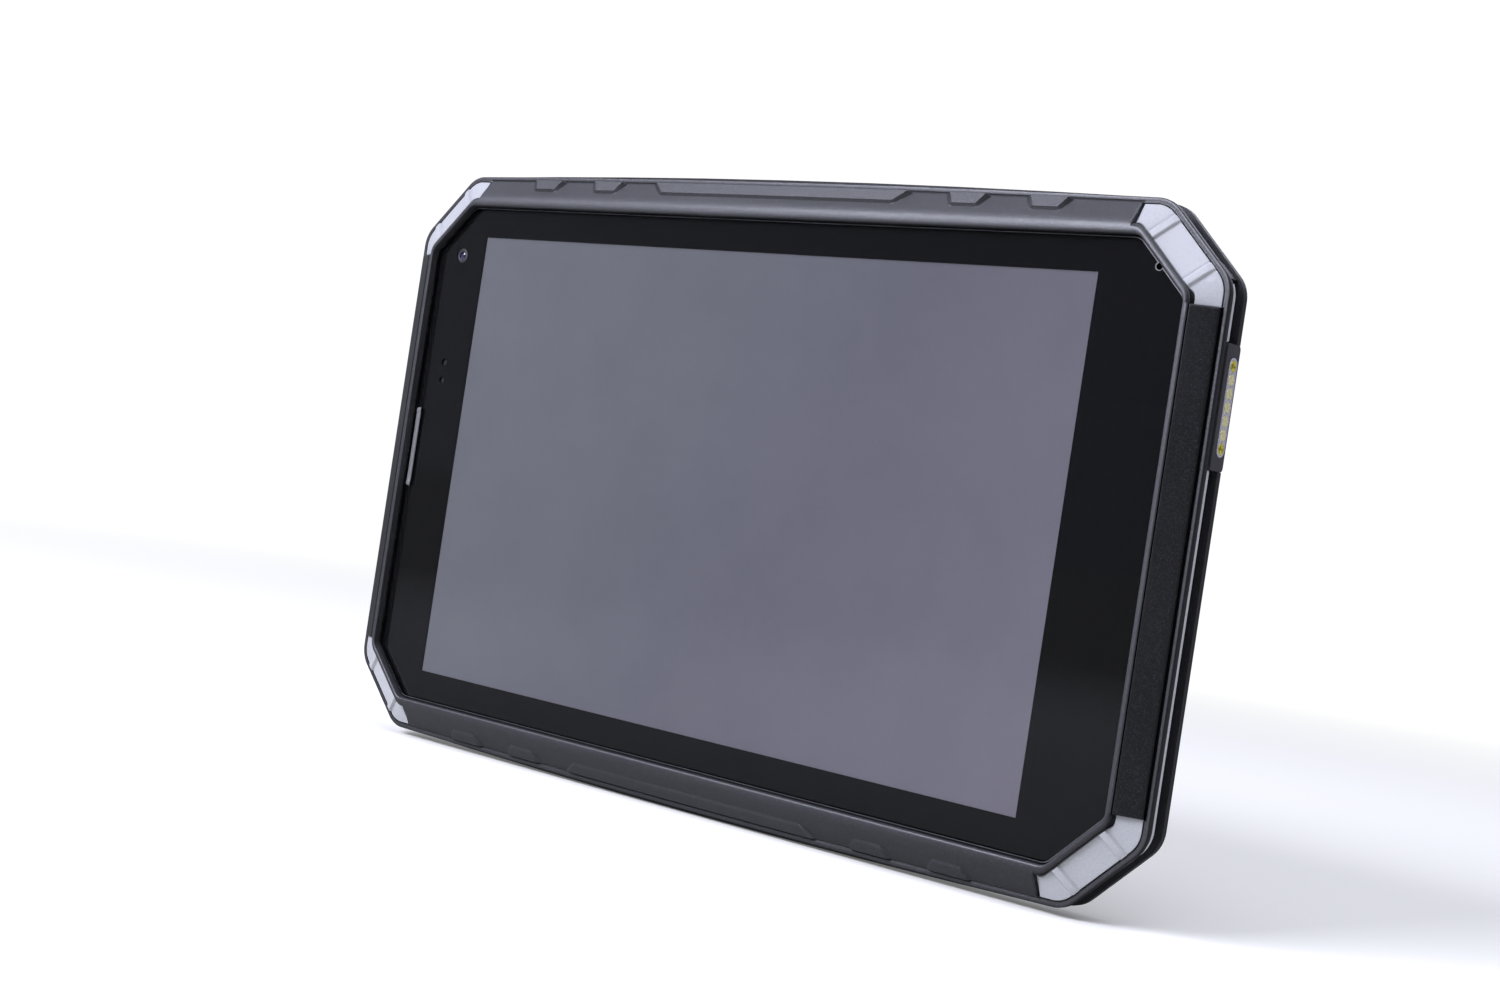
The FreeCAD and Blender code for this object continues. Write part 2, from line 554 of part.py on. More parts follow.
# ---- back cover and perimeter seal ------------------------------------------
def back_cover():
    cover = fuse([prism(BACK, Y_MID_BACK + 0.02, Y_BACK_EDGE),
                  loft(BACK, Y_BACK_EDGE, BACK_FACE, Y_BACK - 0.3),
                  loft(BACK_FACE, Y_BACK - 0.3, grow(BACK_FACE, -0.5), Y_BACK)])
    cover = cover.cut([prism(BACK_CAVITY, 8.0, 9.9),
                       loft(BACK_CAVITY, 9.89, BACK_CAVITY_END, 11.4)])
    cover = cover.fuse(cyls(CASE_SCREWS, Y_MID_BACK + 0.03, 3.2, 3.2)
                       + cyls(ACCESSORY_POINTS, 9.6, 3.9, 2.2))
    # seal groove all round
    cover = cover.cut(prism(SEAL_OUT, 8.0, 8.95).cut(prism(SEAL_IN, 7.9, 9.1)))
    for x, z in CASE_SCREWS:
        cover = cover.cut([cyl(x, 8.0, z, 1.15, 8.0), cyl(x, 11.2, z, 2.15, 3.0)])
    for x, z in ACCESSORY_POINTS:
        cover = cover.cut([cyl(x, 9.9, z, 2.9, 5.0)])
    # stepped openings for the rear camera and the flash
    cover = cover.cut([cyl(REAR_CAM_X, 9.0, REAR_CAM_Z, 4.4, 5.0),
                       cyl(REAR_CAM_X, 12.2, REAR_CAM_Z, 6.55, 5.0),
                       cyl(FLASH_X, 9.0, FLASH_Z, 1.8, 5.0),
                       cyl(FLASH_X, 12.2, FLASH_Z, 2.55, 5.0)])
    # loudspeaker holes
    pitch = 3.0
    cover = cover.cut([cyl(SPEAKER_X + pitch * (i - 4), 11.0, SPEAKER_Z + pitch * (j - 1),
                           0.7, 3.0) for i in range(9) for j in range(3)])
    cover = cover.cut(box(109.9, 114.0, 8.0, DOCK_Y1 + GAP, DOCK_Z0 - GAP, DOCK_Z1 + GAP))
    # shallow recess that gives the door and its hinge barrel room to turn
    cover = cover.cut(box(-114.0, -110.2, 8.0, 10.1, -DOOR_HALF - 0.15, DOOR_HALF + 0.15))
    # shallow parallel channels in the rear face
    return cover.cut([stadium_y(-66.0, -52.0 + 5.2 * i, 44.0, 1.6, Y_BACK - 0.4, Y_BACK + 0.5,
                                X_AXIS) for i in range(5)])


save("back_cover", back_cover())
save("perimeter_seal", prism(grow(SEAL_OUT, -0.05), Y_MID_BACK + 0.01, 8.9).cut(
    prism(grow(SEAL_IN, 0.05), 8.0, 9.5)))


# ---- fasteners --------------------------------------------------------------
def case_screw(x, z):
    """Screw with a hexagon socket in its rear-facing head."""
    angles = [math.radians(60 * i) for i in range(6)]
    socket = [(x + 0.95 * math.cos(a), z + 0.95 * math.sin(a)) for a in angles]
    screw = cyl(x, 11.22, z, 2.05, 1.2).fuse(cyl(x, 6.0, z, 0.98, 5.3))
    return screw.cut(polygon_y(socket, 11.8, 13.0)).removeSplitter()


def case_insert(x, z):
    return cyl(x, 5.1, z, 2.0, 3.35).cut(cyl(x, 5.0, z, 1.0, 4.0))


def accessory_insert(x, z):
    """Insert with a blind bore open to the rear."""
    y0 = 9.93
    return cyl(x, y0, z, 2.86, Y_BACK - 0.1 - y0).cut(cyl(x, 10.6, z, ACCESSORY_BORE_R, 5.0))


def board_screw(x, z):
    return cyl(x, Y_ON_BOARD, z, 1.6, 0.7).fuse(cyl(x, 5.1, z, 0.83, 1.6)).removeSplitter()


for name, make, points in (("case_screws", case_screw, CASE_SCREWS),
                           ("case_inserts", case_insert, CASE_SCREWS),
                           ("accessory_inserts", accessory_insert, ACCESSORY_POINTS),
                           ("board_screws", board_screw, BOARD_SCREWS)):
    save(name, Part.Compound([make(x, z) for x, z in points]))


# ---- cover glass and its gasket ---------------------------------------------
def cover_glass():
    glass = prism(GLASS, 0.0, GLASS_T)
    front_edges = [e for e in glass.Edges
                   if abs(e.BoundBox.YMin) < 1e-6 and abs(e.BoundBox.YMax) < 1e-6]
    glass = glass.makeChamfer(0.2, front_edges)
    return glass.cut([
        box(-104.5, EAR_X1 + 0.05, -1.0, 2.0, EAR_Z0 - 0.1, EAR_Z1 + 0.1),
        cyl(MIC_X, -1.0, MIC_Z, 0.7, 3.0)])


def glass_gasket():
    half_z = OPENING_HALF_Z - 0.05
    return prism(grow(GLASS, -0.3), GLASS_T + 0.01, 1.29).cut([
        round_box(OPENING_X0 + 0.05, OPENING_X1 - 0.05, 0.0, 2.0, -half_z, half_z, 0.8),
        cyl(CAM_X, 0.5, CAM_Z, 3.2, 3.0),
        stadium_y(SENSOR_X, SENSOR_MID_Z, 8.6, 3.0, 0.5, 3.0),
        box(-104.5, EAR_X1 + 0.3, 0.0, 2.0, EAR_Z0 - 0.4, EAR_Z1 + 0.4),
        cyl(MIC_X, 0.5, MIC_Z, 2.6, 3.0)])


save("cover_glass", cover_glass())
save("glass_gasket", glass_gasket())


# ---- modules at the front ---------------------------------------------------
def earpiece_grille():
    """Bar with two columns of fifteen small holes."""
    holes = [cyl(EAR_X + offset, -0.5, -7.2 + 1.05 * i, 0.22, 2.0)
             for i in range(15) for offset in (-0.35, 0.35)]
    return stadium_y(EAR_X, EAR_Z, 19.1, 1.8, 0.05, 1.05).cut(holes)


def front_camera_module():
    return fuse([round_box(CAM_X - 3.6, CAM_X + 1.4, Y_MODULE, Y_MODULE_BACK,
                           CAM_Z - 3.4, CAM_Z + 3.4, 0.4),
                 cyl(CAM_X, 1.55, CAM_Z, 1.3, 1.0)])


def proximity_sensor(z):
    return fuse([round_box(SENSOR_X - 1.2, SENSOR_X + 1.0, Y_MODULE, 3.4,
                           z - 1.0, z + 1.0, 0.3),
                 cyl(SENSOR_X, 1.5, z, 0.8, 0.9)])


save("display_flex", fuse([box(-19.0, 19.0, 3.92, 4.2, 50.0, 59.8),
                           box(-19.0, 19.0, 3.92, 6.8, 59.5, 59.8)]))
save("earpiece_grille", earpiece_grille())
save("earpiece_receiver",
     round_box(-103.9, -96.4, Y_MODULE, Y_MODULE_BACK, -7.2, 8.0, 0.8).cut(
         stadium_y(-102.5, EAR_Z, 10.0, 0.9, 2.0, 2.8)))
save("front_camera_module", front_camera_module())
save("front_camera_ring", cyl(CAM_X, 1.15, CAM_Z, 1.75, 0.36).cut(
    cyl(CAM_X, 1.0, CAM_Z, 1.0, 1.0)))
save("front_camera_lens", Part.makeSphere(2.2, Vector(CAM_X, 3.42, CAM_Z)).common(
    cyl(CAM_X, 1.1, CAM_Z, 0.95, 0.42)))
save("proximity_sensor", Part.Compound([proximity_sensor(z) for z in SENSOR_ZS]))
save("microphone", round_box(MIC_X - 3.4, MIC_X - 0.2, Y_MODULE, 3.6,
                             MIC_Z - 4.2, MIC_Z - 0.6, 0.3).cut(
    cyl(MIC_PORT_X, 2.0, MIC_PORT_Z, 0.35, 0.8)))

# ---- plain blocks rounded along Y: x0, x1, y0, y1, z0, z1, radius -----------
BLOCKS = {
    "optical_bond": (DISPLAY_X - 90.0, DISPLAY_X + 90.0, GLASS_T + 0.01, 1.25, -56.4, 56.4, 1.0),
    "display_panel": (DISPLAY_X - 92.0, DISPLAY_X + 92.0, 1.26, 3.9, -57.6, 57.6, 0.8),
    "processor_shield": (-22.0, 16.0, Y_ON_BOARD, 8.5, 31.5, 55.0, 1.0),
    "radio_shield": (-80.0, -40.0, Y_ON_BOARD, 8.3, 33.0, 56.0, 1.0),
    "power_shield": (38.0, 56.0, Y_ON_BOARD, 8.2, 33.0, 50.0, 1.0),
    "battery_pack": (-78.0, 34.0, 5.06, 9.3, -50.0, 22.0, 1.6),
    "io_board": (-106.6, -84.0, 8.45, 8.95, -18.0, 14.0, 0.6),
    "card_slot": (-106.9, -92.0, 5.2, 6.6, CARD_Z - 6.6, CARD_Z + 3.6, 0.4),
}
for name, sizes in BLOCKS.items():
    save(name, round_box(*sizes))


# ---- electronics behind the mid frame web -----------------------------------
def main_board():
    board = round_box(-98.0, 104.0, 5.62, 6.6, 26.5, 58.9, 1.0)
    board = board.cut(cyls(BOARD_SCREWS, 5.0, 1.0, 3.0))
    board = board.cut(cyls(CASE_SCREWS, 5.0, 3.3, 3.0))
    # room for the rear camera, the dock and the upper right chamfer
    return board.cut([
        box(REAR_CAM_X - 5.3, REAR_CAM_X + 5.3, 5.0, 8.0, REAR_CAM_Z - 5.3, REAR_CAM_Z + 5.3),
        box(99.0, 106.0, 5.0, 8.0, 18.0, 46.0),
        polygon_y([(88.0, 62.0), (108.0, 62.0), (108.0, 45.0)], 5.0, 8.0)])


def loudspeaker():
    body = round_box(SPEAKER_X - 18.0, SPEAKER_X + 18.0, 5.1, 9.0,
                     SPEAKER_Z - 8.0, SPEAKER_Z + 8.0, 2.0)
    return body.cut(stadium_y(SPEAKER_X, SPEAKER_Z, 24.0, 8.0, 8.4, 9.5, X_AXIS))


def rear_camera_module():
    """Square body and round barrel with a conical mouth."""
    body = round_box(REAR_CAM_X - 5.0, REAR_CAM_X + 5.0, 5.06, 9.4,
                     REAR_CAM_Z - 5.0, REAR_CAM_Z + 5.0, 0.8)
    body = body.fuse(cyl(REAR_CAM_X, 9.3, REAR_CAM_Z, 4.0, 2.5))
    mouth = Part.makeCone(1.4, 2.6, 0.9, Vector(REAR_CAM_X, 10.91, REAR_CAM_Z), Y_AXIS)
    return body.cut(mouth).removeSplitter()


def flash_led():
    return fuse([
        round_box(FLASH_X - 1.2, FLASH_X + 1.2, 10.6, 11.3, FLASH_Z - 1.2, FLASH_Z + 1.2, 0.2),
        box(FLASH_X - 0.8, FLASH_X + 0.8, Y_ON_BOARD, 10.7, FLASH_Z - 0.8, FLASH_Z + 0.8)])


save("main_board", main_board())
save("loudspeaker", loudspeaker())
save("speaker_gasket", stadium_y(SPEAKER_X, SPEAKER_Z, 32.0, 12.0, 9.02, 11.36, X_AXIS).cut(
    stadium_y(SPEAKER_X, SPEAKER_Z, 29.0, 9.6, 8.5, 12.0, X_AXIS)))
save("vibration_motor", cyl(54.0, 5.05, -10.0, 5.0, 2.8).fuse(
    box(49.6, 51.4, 5.05, 5.4, -16.5, -10.0)))
save("rear_camera_module", rear_camera_module())
save("rear_camera_lens", Part.makeSphere(3.0, Vector(REAR_CAM_X, 8.4, REAR_CAM_Z)).common(
    cyl(REAR_CAM_X, 10.93, REAR_CAM_Z, 1.3, 0.8)))
save("flash_led", flash_led())
save("rear_windows", Part.Compound([cyl(REAR_CAM_X, Y_WINDOW, REAR_CAM_Z, 6.45, 0.7),
                                    cyl(FLASH_X, Y_WINDOW, FLASH_Z, 2.5, 0.7)]))
save("antennas", Part.Compound([side_box(side, 100.0, 104.0, 9.6, 9.9, -38.0, 12.0)
                                for side in (-1, 1)]))
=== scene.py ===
# A handheld device with a large screen, standing on a long edge in landscape. Its
# face looks along -y, x runs to the right seen from the front, z is up. The
# housing outline is an octagon with filleted corners.
import json
import math
import random
from collections import namedtuple

import bpy
import bmesh
from mathutils import Matrix, Vector

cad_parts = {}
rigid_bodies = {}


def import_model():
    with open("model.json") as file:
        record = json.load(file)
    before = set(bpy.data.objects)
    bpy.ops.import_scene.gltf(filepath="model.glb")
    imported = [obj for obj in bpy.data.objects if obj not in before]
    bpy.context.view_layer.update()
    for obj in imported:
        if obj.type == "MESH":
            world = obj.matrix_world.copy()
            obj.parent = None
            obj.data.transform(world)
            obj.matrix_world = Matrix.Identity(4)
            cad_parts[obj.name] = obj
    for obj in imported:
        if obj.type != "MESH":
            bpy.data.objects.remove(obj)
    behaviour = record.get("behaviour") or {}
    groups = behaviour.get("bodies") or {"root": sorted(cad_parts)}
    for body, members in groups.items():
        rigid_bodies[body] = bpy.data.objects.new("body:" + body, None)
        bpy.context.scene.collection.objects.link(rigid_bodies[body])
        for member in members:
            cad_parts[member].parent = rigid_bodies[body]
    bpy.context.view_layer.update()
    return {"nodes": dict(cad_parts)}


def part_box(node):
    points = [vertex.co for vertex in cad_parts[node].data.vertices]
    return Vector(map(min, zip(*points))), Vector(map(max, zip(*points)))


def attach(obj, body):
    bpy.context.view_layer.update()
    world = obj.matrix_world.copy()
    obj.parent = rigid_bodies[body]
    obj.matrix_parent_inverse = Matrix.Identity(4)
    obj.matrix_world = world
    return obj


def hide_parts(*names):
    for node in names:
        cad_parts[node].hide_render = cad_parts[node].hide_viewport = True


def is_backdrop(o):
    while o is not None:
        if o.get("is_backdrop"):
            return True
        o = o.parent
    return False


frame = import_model()
random.seed(7)

# ---- working frame ---------------------------------------------------------------
# Millimetres, with the glass surface at y = 0, the glass centre at x = z = 0 and
# +y running into the housing. place() turns such a point into scene metres.
MM = 0.001
glass_low, glass_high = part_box("cover_glass")
ORIGIN_X = (glass_low.x + glass_high.x) / 2
ORIGIN_Y = glass_low.y
ORIGIN_Z = (glass_low.z + glass_high.z) / 2
BODY = "housing"


def place(x, y, z):
    return Vector((ORIGIN_X + x * MM, ORIGIN_Y + y * MM, ORIGIN_Z + z * MM))


# ---- outline rings ---------------------------------------------------------------
# Nested octagons: half width (x), half height (z), corner cut, fillet radius, and
# how far the long sides bow outwards at mid length.
Ring = namedtuple("Ring", "half_w half_h cut fillet bow")
GLASS = Ring(103.9, 60.8, 11.3, 3.0, 0.0)
LIP_IN = Ring(104.25, 61.15, 11.42, 3.2, 0.0)
LIP_OUT = Ring(105.25, 63.0, 12.55, 4.0, 0.2)
SLOPE_END = Ring(110.75, 67.75, 14.35, 6.0, 0.55)
GROOVE_OUT = Ring(111.15, 68.2, 14.6, 6.4, 0.65)
RIM = Ring(111.9, 69.0, 15.2, 7.0, 0.9)
# rho is a position across the rings: 0 at LIP_IN, 1 at LIP_OUT, ... 4 at RIM
RINGS = [LIP_IN, LIP_OUT, SLOPE_END, GROOVE_OUT, RIM]
Y_LIP = -1.5                        # front of the lip
Y_SHOULDER, Y_SLOPE_END = -0.95, 2.0
Y_SHOULDER_LONG = -1.27             # shoulder of the long sides
CAP_X, CAP_Z = 90.8, 48.6           # where the corners begin on the long and short sides
TAN_22_5 = 0.41421356

# The outline is cut into columns, each named by a key:
#   ("T", x) or ("B", x)   top or bottom long side
#   ("R", z) or ("L", z)   right or left short side
#   ("C", sign x, sign z, segment, t)   a corner, t running 0..1 along the segment
RUN_X, FILLET_X, CHAMFER, FILLET_Z, RUN_Z = range(5)


def ring_at(rho):
    i = max(0, min(int(rho), len(RINGS) - 2))
    f = rho - i
    return Ring(*(a * (1 - f) + b * f for a, b in zip(RINGS[i], RINGS[i + 1])))


def ring_point(ring, key):
    """The (x, z) point of a column on a ring."""
    half_w, half_h, cut, radius, bow = ring
    tangent = radius * TAN_22_5
    x_end, z_end = half_w - cut - tangent, half_h - cut - tangent
    z_side = min(CAP_Z, z_end - 0.05)
    if key[0] in "TB":
        x = max(-x_end, min(x_end, key[1]))
        z = half_h + bow * (1 - (x / x_end) ** 2)
        return (x, z if key[0] == "T" else -z)
    if key[0] in "RL":
        z = key[1] * z_side / CAP_Z
        return (half_w if key[0] == "R" else -half_w, z)
    _, sign_x, sign_z, segment, t = key
    if segment == RUN_X:
        x = CAP_X + (x_end - CAP_X) * t
        z = half_h + bow * (1 - (x / x_end) ** 2)
    elif segment == FILLET_X:
        angle = math.radians(90 - 45 * t)
        x, z = x_end + radius * math.cos(angle), half_h - radius + radius * math.sin(angle)
    elif segment == CHAMFER:
        q = radius * math.sqrt(0.5)
        x0, z0 = x_end + q, half_h - radius + q
        x1, z1 = half_w - radius + q, z_end + q
        x, z = x0 + (x1 - x0) * t, z0 + (z1 - z0) * t
    elif segment == FILLET_Z:
        angle = math.radians(45 - 45 * t)
        x, z = half_w - radius + radius * math.cos(angle), z_end + radius * math.sin(angle)
    else:
        x, z = half_w, z_end + (z_side - z_end) * t
    return (sign_x * x, sign_z * z)


def corner_keys(sign_x, sign_z, counts):
    """Columns of one corner; counts gives the number in each of the five segments."""
    keys = []
    for segment, n in enumerate(counts):
        for i in range(n):
            t = (i + 1) / n if segment else i / (n - 1)
            keys.append(("C", sign_x, sign_z, segment, t))
    return keys


def closed_keys(long_x, short_z, counts):
    """All columns once round, clockwise seen from the front, starting top left."""
    keys = [("T", x) for x in long_x] + corner_keys(1, 1, counts)
    keys += [("R", z) for z in short_z[::-1]] + corner_keys(1, -1, counts)[::-1]
    keys += [("B", x) for x in long_x[::-1]] + corner_keys(-1, -1, counts)
    keys += [("L", z) for z in short_z] + corner_keys(-1, 1, counts)[::-1]
    return keys


# ---- the slope between LIP_OUT and SLOPE_END --------------------------------------
def shoulder_y(key):
    return Y_SHOULDER_LONG if key[0] in "TB" else Y_SHOULDER


def slope_normal(key):
    inner, outer = ring_point(LIP_OUT, key), ring_point(SLOPE_END, key)
    dx, dz = outer[0] - inner[0], outer[1] - inner[1]
    if key[0] in "TB":
        dx = 0.0
    run = math.hypot(dx, dz)
    angle = math.atan2(Y_SLOPE_END - shoulder_y(key), run)
    s, c = math.sin(angle), math.cos(angle)
    return (dx / run * s, -c, dz / run * s)


def slope_point(rho, key, lift):
    x, z = ring_point(ring_at(rho), key)
    start = shoulder_y(key)
    y = start + (Y_SLOPE_END - start) * (rho - 1.0)
    n = slope_normal(key)
    return (x + n[0] * lift, y + n[1] * lift, z + n[2] * lift)


# ---- profile and mesh helpers ------------------------------------------------------
def clamp01(t):
    return max(0.0, min(1.0, t))


def smooth01(t):
    t = clamp01(t)
    return t * t * (3 - 2 * t)


def edge_round(d, radius):
    """How far a rounded edge has dropped at distance d from it (zero or negative)."""
    if d >= radius:
        return 0.0
    d = max(d, 0.0)
    return -(radius - math.sqrt(max(0.0, radius * radius - (radius - d) ** 2)))


def link_object(name, data):
    ob = bpy.data.objects.new(name, data)
    bpy.context.scene.collection.objects.link(ob)
    return ob


def make_piece(name, verts, faces, mats, ids=None, sharp=35.0, weld=0.0, replaces=()):
    """A housing piece; edges steeper than sharp (degrees) stay hard."""
    mesh = bpy.data.meshes.new(name)
    mesh.from_pydata([tuple(v) for v in verts], [], faces)
    mesh.update()
    for mat in mats:
        mesh.materials.append(mat)
    if ids:
        mesh.polygons.foreach_set("material_index", ids)
    bm = bmesh.new()
    bm.from_mesh(mesh)
    if weld > 0:
        bmesh.ops.remove_doubles(bm, verts=bm.verts, dist=weld)
    bmesh.ops.recalc_face_normals(bm, faces=bm.faces)
    limit = math.radians(sharp)
    for face in bm.faces:
        face.smooth = True
    for edge in bm.edges:
        edge.smooth = not (len(edge.link_faces) == 2 and edge.calc_face_angle(0.0) > limit)
    bm.to_mesh(mesh)
    bm.free()
    ob = link_object(name, mesh)
    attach(ob, BODY)
    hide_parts(*replaces)
    return ob


def grid_faces(rows, cols, close_cols=False, close_rows=False):
    faces = []
    for i in range(rows if close_rows else rows - 1):
        for j in range(cols if close_cols else cols - 1):
            a, b = i * cols + j, i * cols + (j + 1) % cols
            up = ((i + 1) % rows) * cols
            faces.append((a, b, up + (j + 1) % cols, up + j))
    return faces


def slope_pad(name, keys, steps, lift, depth, mats, replaces, rho_at=lambda step, key: step):
    """A pad lying on the slope, from the height lift(step, key) down to depth.
    rho_at turns a step across the pad into a rho."""
    rows, cols = len(steps), len(keys)
    verts = [place(*slope_point(rho_at(s, k), k, lift(s, k))) for s in steps for k in keys]
    verts += [place(*slope_point(rho_at(s, k), k, depth)) for s in steps for k in keys]
    under = rows * cols
    faces = grid_faces(rows, cols)
    faces += [tuple(under + v for v in f[::-1]) for f in grid_faces(rows, cols)]
    for j in range(cols - 1):
        faces.append((j + 1, j, under + j, under + j + 1))
        a = (rows - 1) * cols + j
        faces.append((a, a + 1, under + a + 1, under + a))
    for i in range(rows - 1):
        a, b = i * cols, (i + 1) * cols
        faces.append((a, b, under + b, under + a))
        a, b = a + cols - 1, b + cols - 1
        faces.append((b, a, under + a, under + b))
    make_piece(name, verts, faces, mats, sharp=50.0, replaces=replaces)


# ---- shader helper -----------------------------------------------------------------
class Shader:
    """Builds the node tree of a material or world. Texture scales are per metre."""

    def __init__(self, owner, output):
        self.owner = owner
        owner.use_nodes = True
        self.tree = owner.node_tree
        self.tree.nodes.clear()
        self.output = self.add(output)
        self.coords = self.add("ShaderNodeTexCoord")
        self.position = self.coords.outputs["Object"]

    def add(self, kind, **settings):
        node = self.tree.nodes.new(kind)
        for key, value in settings.items():
            if key in node.inputs:
                node.inputs[key].default_value = value
            else:
                setattr(node, key, value)
        return node

    def link(self, source, target):
        self.tree.links.new(source, target)

    def feed(self, socket, value):
        """Link a socket, or set a plain value."""
        if isinstance(value, bpy.types.NodeSocket):
            self.link(value, socket)
        else:
            socket.default_value = value

    def finish(self, shader):
        self.link(shader, self.output.inputs[0])
        return self.owner

    def noise(self, scale, detail=2.0, rough=0.5, vector=None):
        node = self.add("ShaderNodeTexNoise", Scale=scale, Detail=detail, Roughness=rough)
        self.link(vector or self.position, node.inputs["Vector"])
        return node.outputs["Fac"]

    def spread(self, value, low=0.0, high=1.0, span=(0.3, 0.7), **settings):
        """Map the range span onto low..high."""
        node = self.add("ShaderNodeMapRange", **settings)
        self.link(value, node.inputs[0])
        for i, number in enumerate((*span, low, high)):
            node.inputs[i + 1].default_value = number
        return node.outputs[0]

    def ramp(self, fac, stops):
        """Colour ramp; a stop is a position and a colour or grey."""
        node = self.add("ShaderNodeValToRGB")
        elements = node.color_ramp.elements
        while len(elements) < len(stops):
            elements.new(0.5)
        for element, (position, color) in zip(elements, stops):
            element.position = position
            element.color = (*(color if isinstance(color, tuple) else (color,) * 3), 1.0)
        self.link(fac, node.inputs["Fac"])
        return node.outputs["Color"]

    def mix(self, fac, a, b, mode="MIX"):
        node = self.add("ShaderNodeMix", data_type="RGBA", blend_type=mode)
        self.feed(node.inputs[0], fac)
        for i, color in ((6, a), (7, b)):
            self.feed(node.inputs[i], (*color, 1.0) if isinstance(color, tuple) else color)
        return node.outputs[2]

    def shades(self, fac, base, dark, light):
        """From base times dark to base times light."""
        return self.mix(fac, scaled(base, dark), scaled(base, light))

    def math(self, operation, a, b=None, clamp=False):
        node = self.add("ShaderNodeMath", operation=operation, use_clamp=clamp)
        self.feed(node.inputs[0], a)
        if b is not None:
            self.feed(node.inputs[1], b)
        return node.outputs[0]

    def vector(self, operation, *values, **settings):
        node = self.add("ShaderNodeVectorMath", operation=operation, **settings)
        for socket, value in zip(node.inputs, values):
            self.feed(socket, value)
        return node.outputs

    def axis(self, index):
        node = self.add("ShaderNodeSeparateXYZ")
        self.link(self.position, node.inputs[0])
        return node.outputs[index]

    def bump(self, height, strength, distance=0.00005, normal=None):
        node = self.add("ShaderNodeBump", Strength=strength, Distance=distance)
        self.link(height, node.inputs["Height"])
        if normal is not None:
            self.link(normal, node.inputs["Normal"])
        return node.outputs["Normal"]

    def edges(self, span, amount):
        """Mask of raised edges, or of creases when span falls."""
        geometry = self.add("ShaderNodeNewGeometry")
        mask = self.spread(geometry.outputs["Pointiness"], span=span)
        return self.math("MULTIPLY", mask, amount, clamp=True)

    def smear(self, rough):
        """Roughness of polished glass with faint wipe marks."""
        wipes = self.noise(scale=38.0, detail=4.0, rough=0.6)
        return self.spread(wipes, rough, rough + 0.04, span=(0.35, 0.75))

    def principled(self, **inputs):
        """Principled surface; underscores in the names stand for spaces."""
        node = self.add("ShaderNodeBsdfPrincipled")
        for key, value in inputs.items():
            self.feed(node.inputs[key.replace("_", " ")], value)
        return node.outputs[0]


def material(name):
    return Shader(bpy.data.materials.new(name), "ShaderNodeOutputMaterial")


def scaled(color, k):
    return tuple(v * k for v in color)


def srgb(*levels):
    """Linear colour from 0..255 sRGB levels."""
    def linear(v):
        v /= 255.0
        return v / 12.92 if v <= 0.04045 else ((v + 0.055) / 1.055) ** 2.4
    return tuple(linear(v) for v in levels)


# ---- kinds of material ---------------------------------------------------------------
def flake_plastic(name, base, rough, metallic, grain, tilt, cell, sparkle,
                  bump=0.3, specular=0.4, wear=0.2, rare=0.93):
    """Moulded plastic full of fine metallic flakes. Each flake (cell per metre) leans
    its own way by tilt; those drawn above rare are bright."""
    m = material(name)
    fine = m.noise(scale=5200.0, detail=2.0, rough=0.6)
    broad = m.noise(scale=55.0, detail=3.0, rough=0.55)
    cells = m.add("ShaderNodeTexVoronoi", Scale=cell)
    m.link(m.position, cells.inputs["Vector"])
    flakes = cells.outputs["Color"]
    split = m.add("ShaderNodeSeparateColor")
    m.link(flakes, split.inputs[0])

    speckle = m.shades(split.outputs[1], base, dark=1.0 - grain, light=1.0 + grain)
    clouds = m.shades(m.spread(broad), base, dark=0.88, light=1.12)
    bright = m.ramp(split.outputs[0], [(rare, 0.0), (rare + 0.05, 1.0)])
    glint = m.math("MULTIPLY", bright, sparkle, clamp=True)
    color = m.mix(glint, m.mix(0.5, speckle, clouds), (0.55, 0.55, 0.60))
    color = m.mix(m.edges(span=(0.515, 0.58), amount=wear), color, scaled(base, 2.2))

    roughness = m.math("ADD", m.spread(fine, rough - 0.05, rough + 0.05, span=(0.2, 0.8)),
                       m.spread(broad, low=-0.03, high=0.04))
    roughness = m.math("ADD", roughness, m.math("MULTIPLY", glint, -0.1))

    lean = m.vector("SUBTRACT", flakes, (0.5, 0.5, 0.5))[0]
    lean = m.vector("SCALE", lean, Scale=tilt)[0]
    surface = m.add("ShaderNodeNewGeometry").outputs["Normal"]
    leaning = m.vector("NORMALIZE", m.vector("ADD", surface, lean)[0])[0]
    return m.finish(m.principled(
        Base_Color=color, Roughness=roughness, Specular_IOR_Level=specular,
        Metallic=m.math("ADD", metallic, m.math("MULTIPLY", glint, 0.6), clamp=True),
        Normal=m.bump(fine, strength=bump, normal=leaning)))


